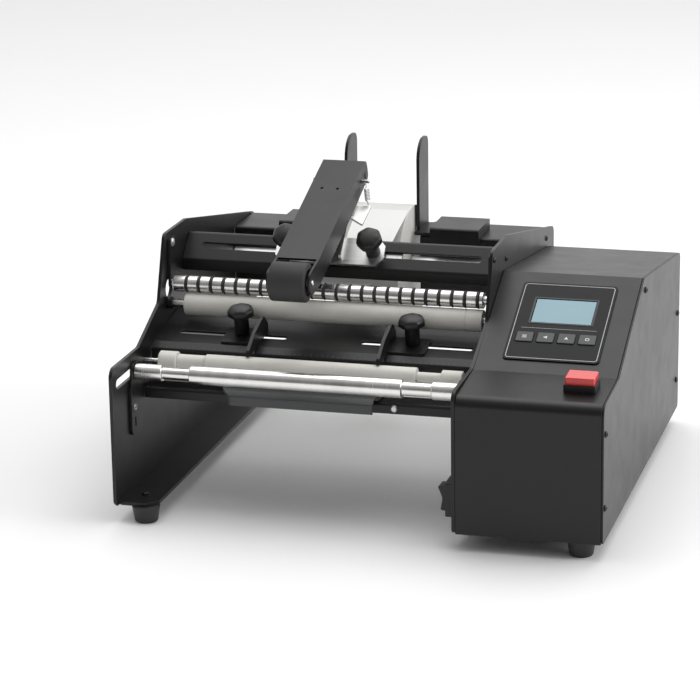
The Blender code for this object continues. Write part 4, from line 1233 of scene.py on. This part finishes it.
def cad_looks():
    """Better materials for the CAD nodes that stay as they are."""
    looks = {
        "drive_motor": "zinc",
        "motor_pulley": "aluminium",
        "drive_pulley": "aluminium",
        "drive_belt": "black_rubber",
        "control_board": "board_green",
        "power_supply": "aluminium",
        "label_web": "label_paper",
        "arm_spring_left": "hanger_steel",
        "arm_spring_right": "hanger_steel",
    }
    for node, look in looks.items():
        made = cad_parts[node]
        for slot in made.material_slots:
            slot.material = MATERIALS[look]


# ---------------------------------------------------------------- room


def room():
    floor = bpy.data.meshes.new("floor")
    size = 30.0
    corners = [(-size, -size, 0.0), (size, -size, 0.0), (size, size, 0.0), (-size, size, 0.0)]
    floor.from_pydata(corners, [], [(0, 1, 2, 3)])
    ground = bpy.data.objects.new("floor", floor)
    bpy.context.scene.collection.objects.link(ground)
    n = Nodes("floor_white")
    soft = n.noise(3.0, 2.0)
    n.colour(n.mix(soft, (0.93, 0.93, 0.93), (0.95, 0.95, 0.95)))
    n.roughness(n.spread(soft, 0.0, 1.0, 0.7, 0.8))
    floor.materials.append(n.material)
    world = bpy.data.worlds.new("studio")
    bpy.context.scene.world = world
    world.use_nodes = True
    tree = world.node_tree
    tree.nodes["Background"].inputs["Color"].default_value = (1.0, 1.0, 1.0, 1.0)
    coords = tree.nodes.new("ShaderNodeTexCoord")
    parts = tree.nodes.new("ShaderNodeSeparateXYZ")
    tone = tree.nodes.new("ShaderNodeMapRange")
    tree.links.new(coords.outputs["Generated"], parts.inputs[0])
    tree.links.new(parts.outputs["Y"], tone.inputs["Value"])
    tone.inputs["From Min"].default_value = -0.9
    tone.inputs["From Max"].default_value = 0.3
    tone.inputs["To Min"].default_value = 0.16
    tone.inputs["To Max"].default_value = 1.05
    tree.links.new(tone.outputs["Result"], tree.nodes["Background"].inputs["Strength"])
    for name, place, aim, size, power in (
        ("key", (0.1, 0.5, 2.4), (0.0, 0.0, 0.1), 2.2, 26.0),
        ("side", (2.4, 0.2, 1.2), (0.1, 0.0, 0.1), 1.2, 22.0),
    ):
        lamp = bpy.data.lights.new(name, "AREA")
        lamp.size = size
        lamp.energy = power
        holder = bpy.data.objects.new(name, lamp)
        bpy.context.scene.collection.objects.link(holder)
        holder.location = place
        direction = Vector(aim) - Vector(place)
        holder.rotation_euler = direction.to_track_quat("-Z", "Y").to_euler()
    bpy.context.scene.view_settings.view_transform = "Standard"


def build():
    side_plates()
    feet()
    slotted_bar()
    rear_shelves()
    deck()
    ruler()
    lower_beam_and_tray()
    carriages()
    front_roller()
    support_roller()
    drive_roller()
    idler_roller()
    idler_hangers()
    bottle_stop("right", 0.3, 1.0)
    bottle_stop("left", -115.7, -1.0)
    arm_bracket()
    pressure_arm()
    arm_fittings()
    roll_guide("right", -33.2, 1.0)
    roll_guide("left", -101.4, -1.0)
    label_roll()
    control_housing()
    cover_screws()
    panel_parts()
    start_button()
    rocker_switch()
    mains_inlet()
    cad_looks()
    room()


build()
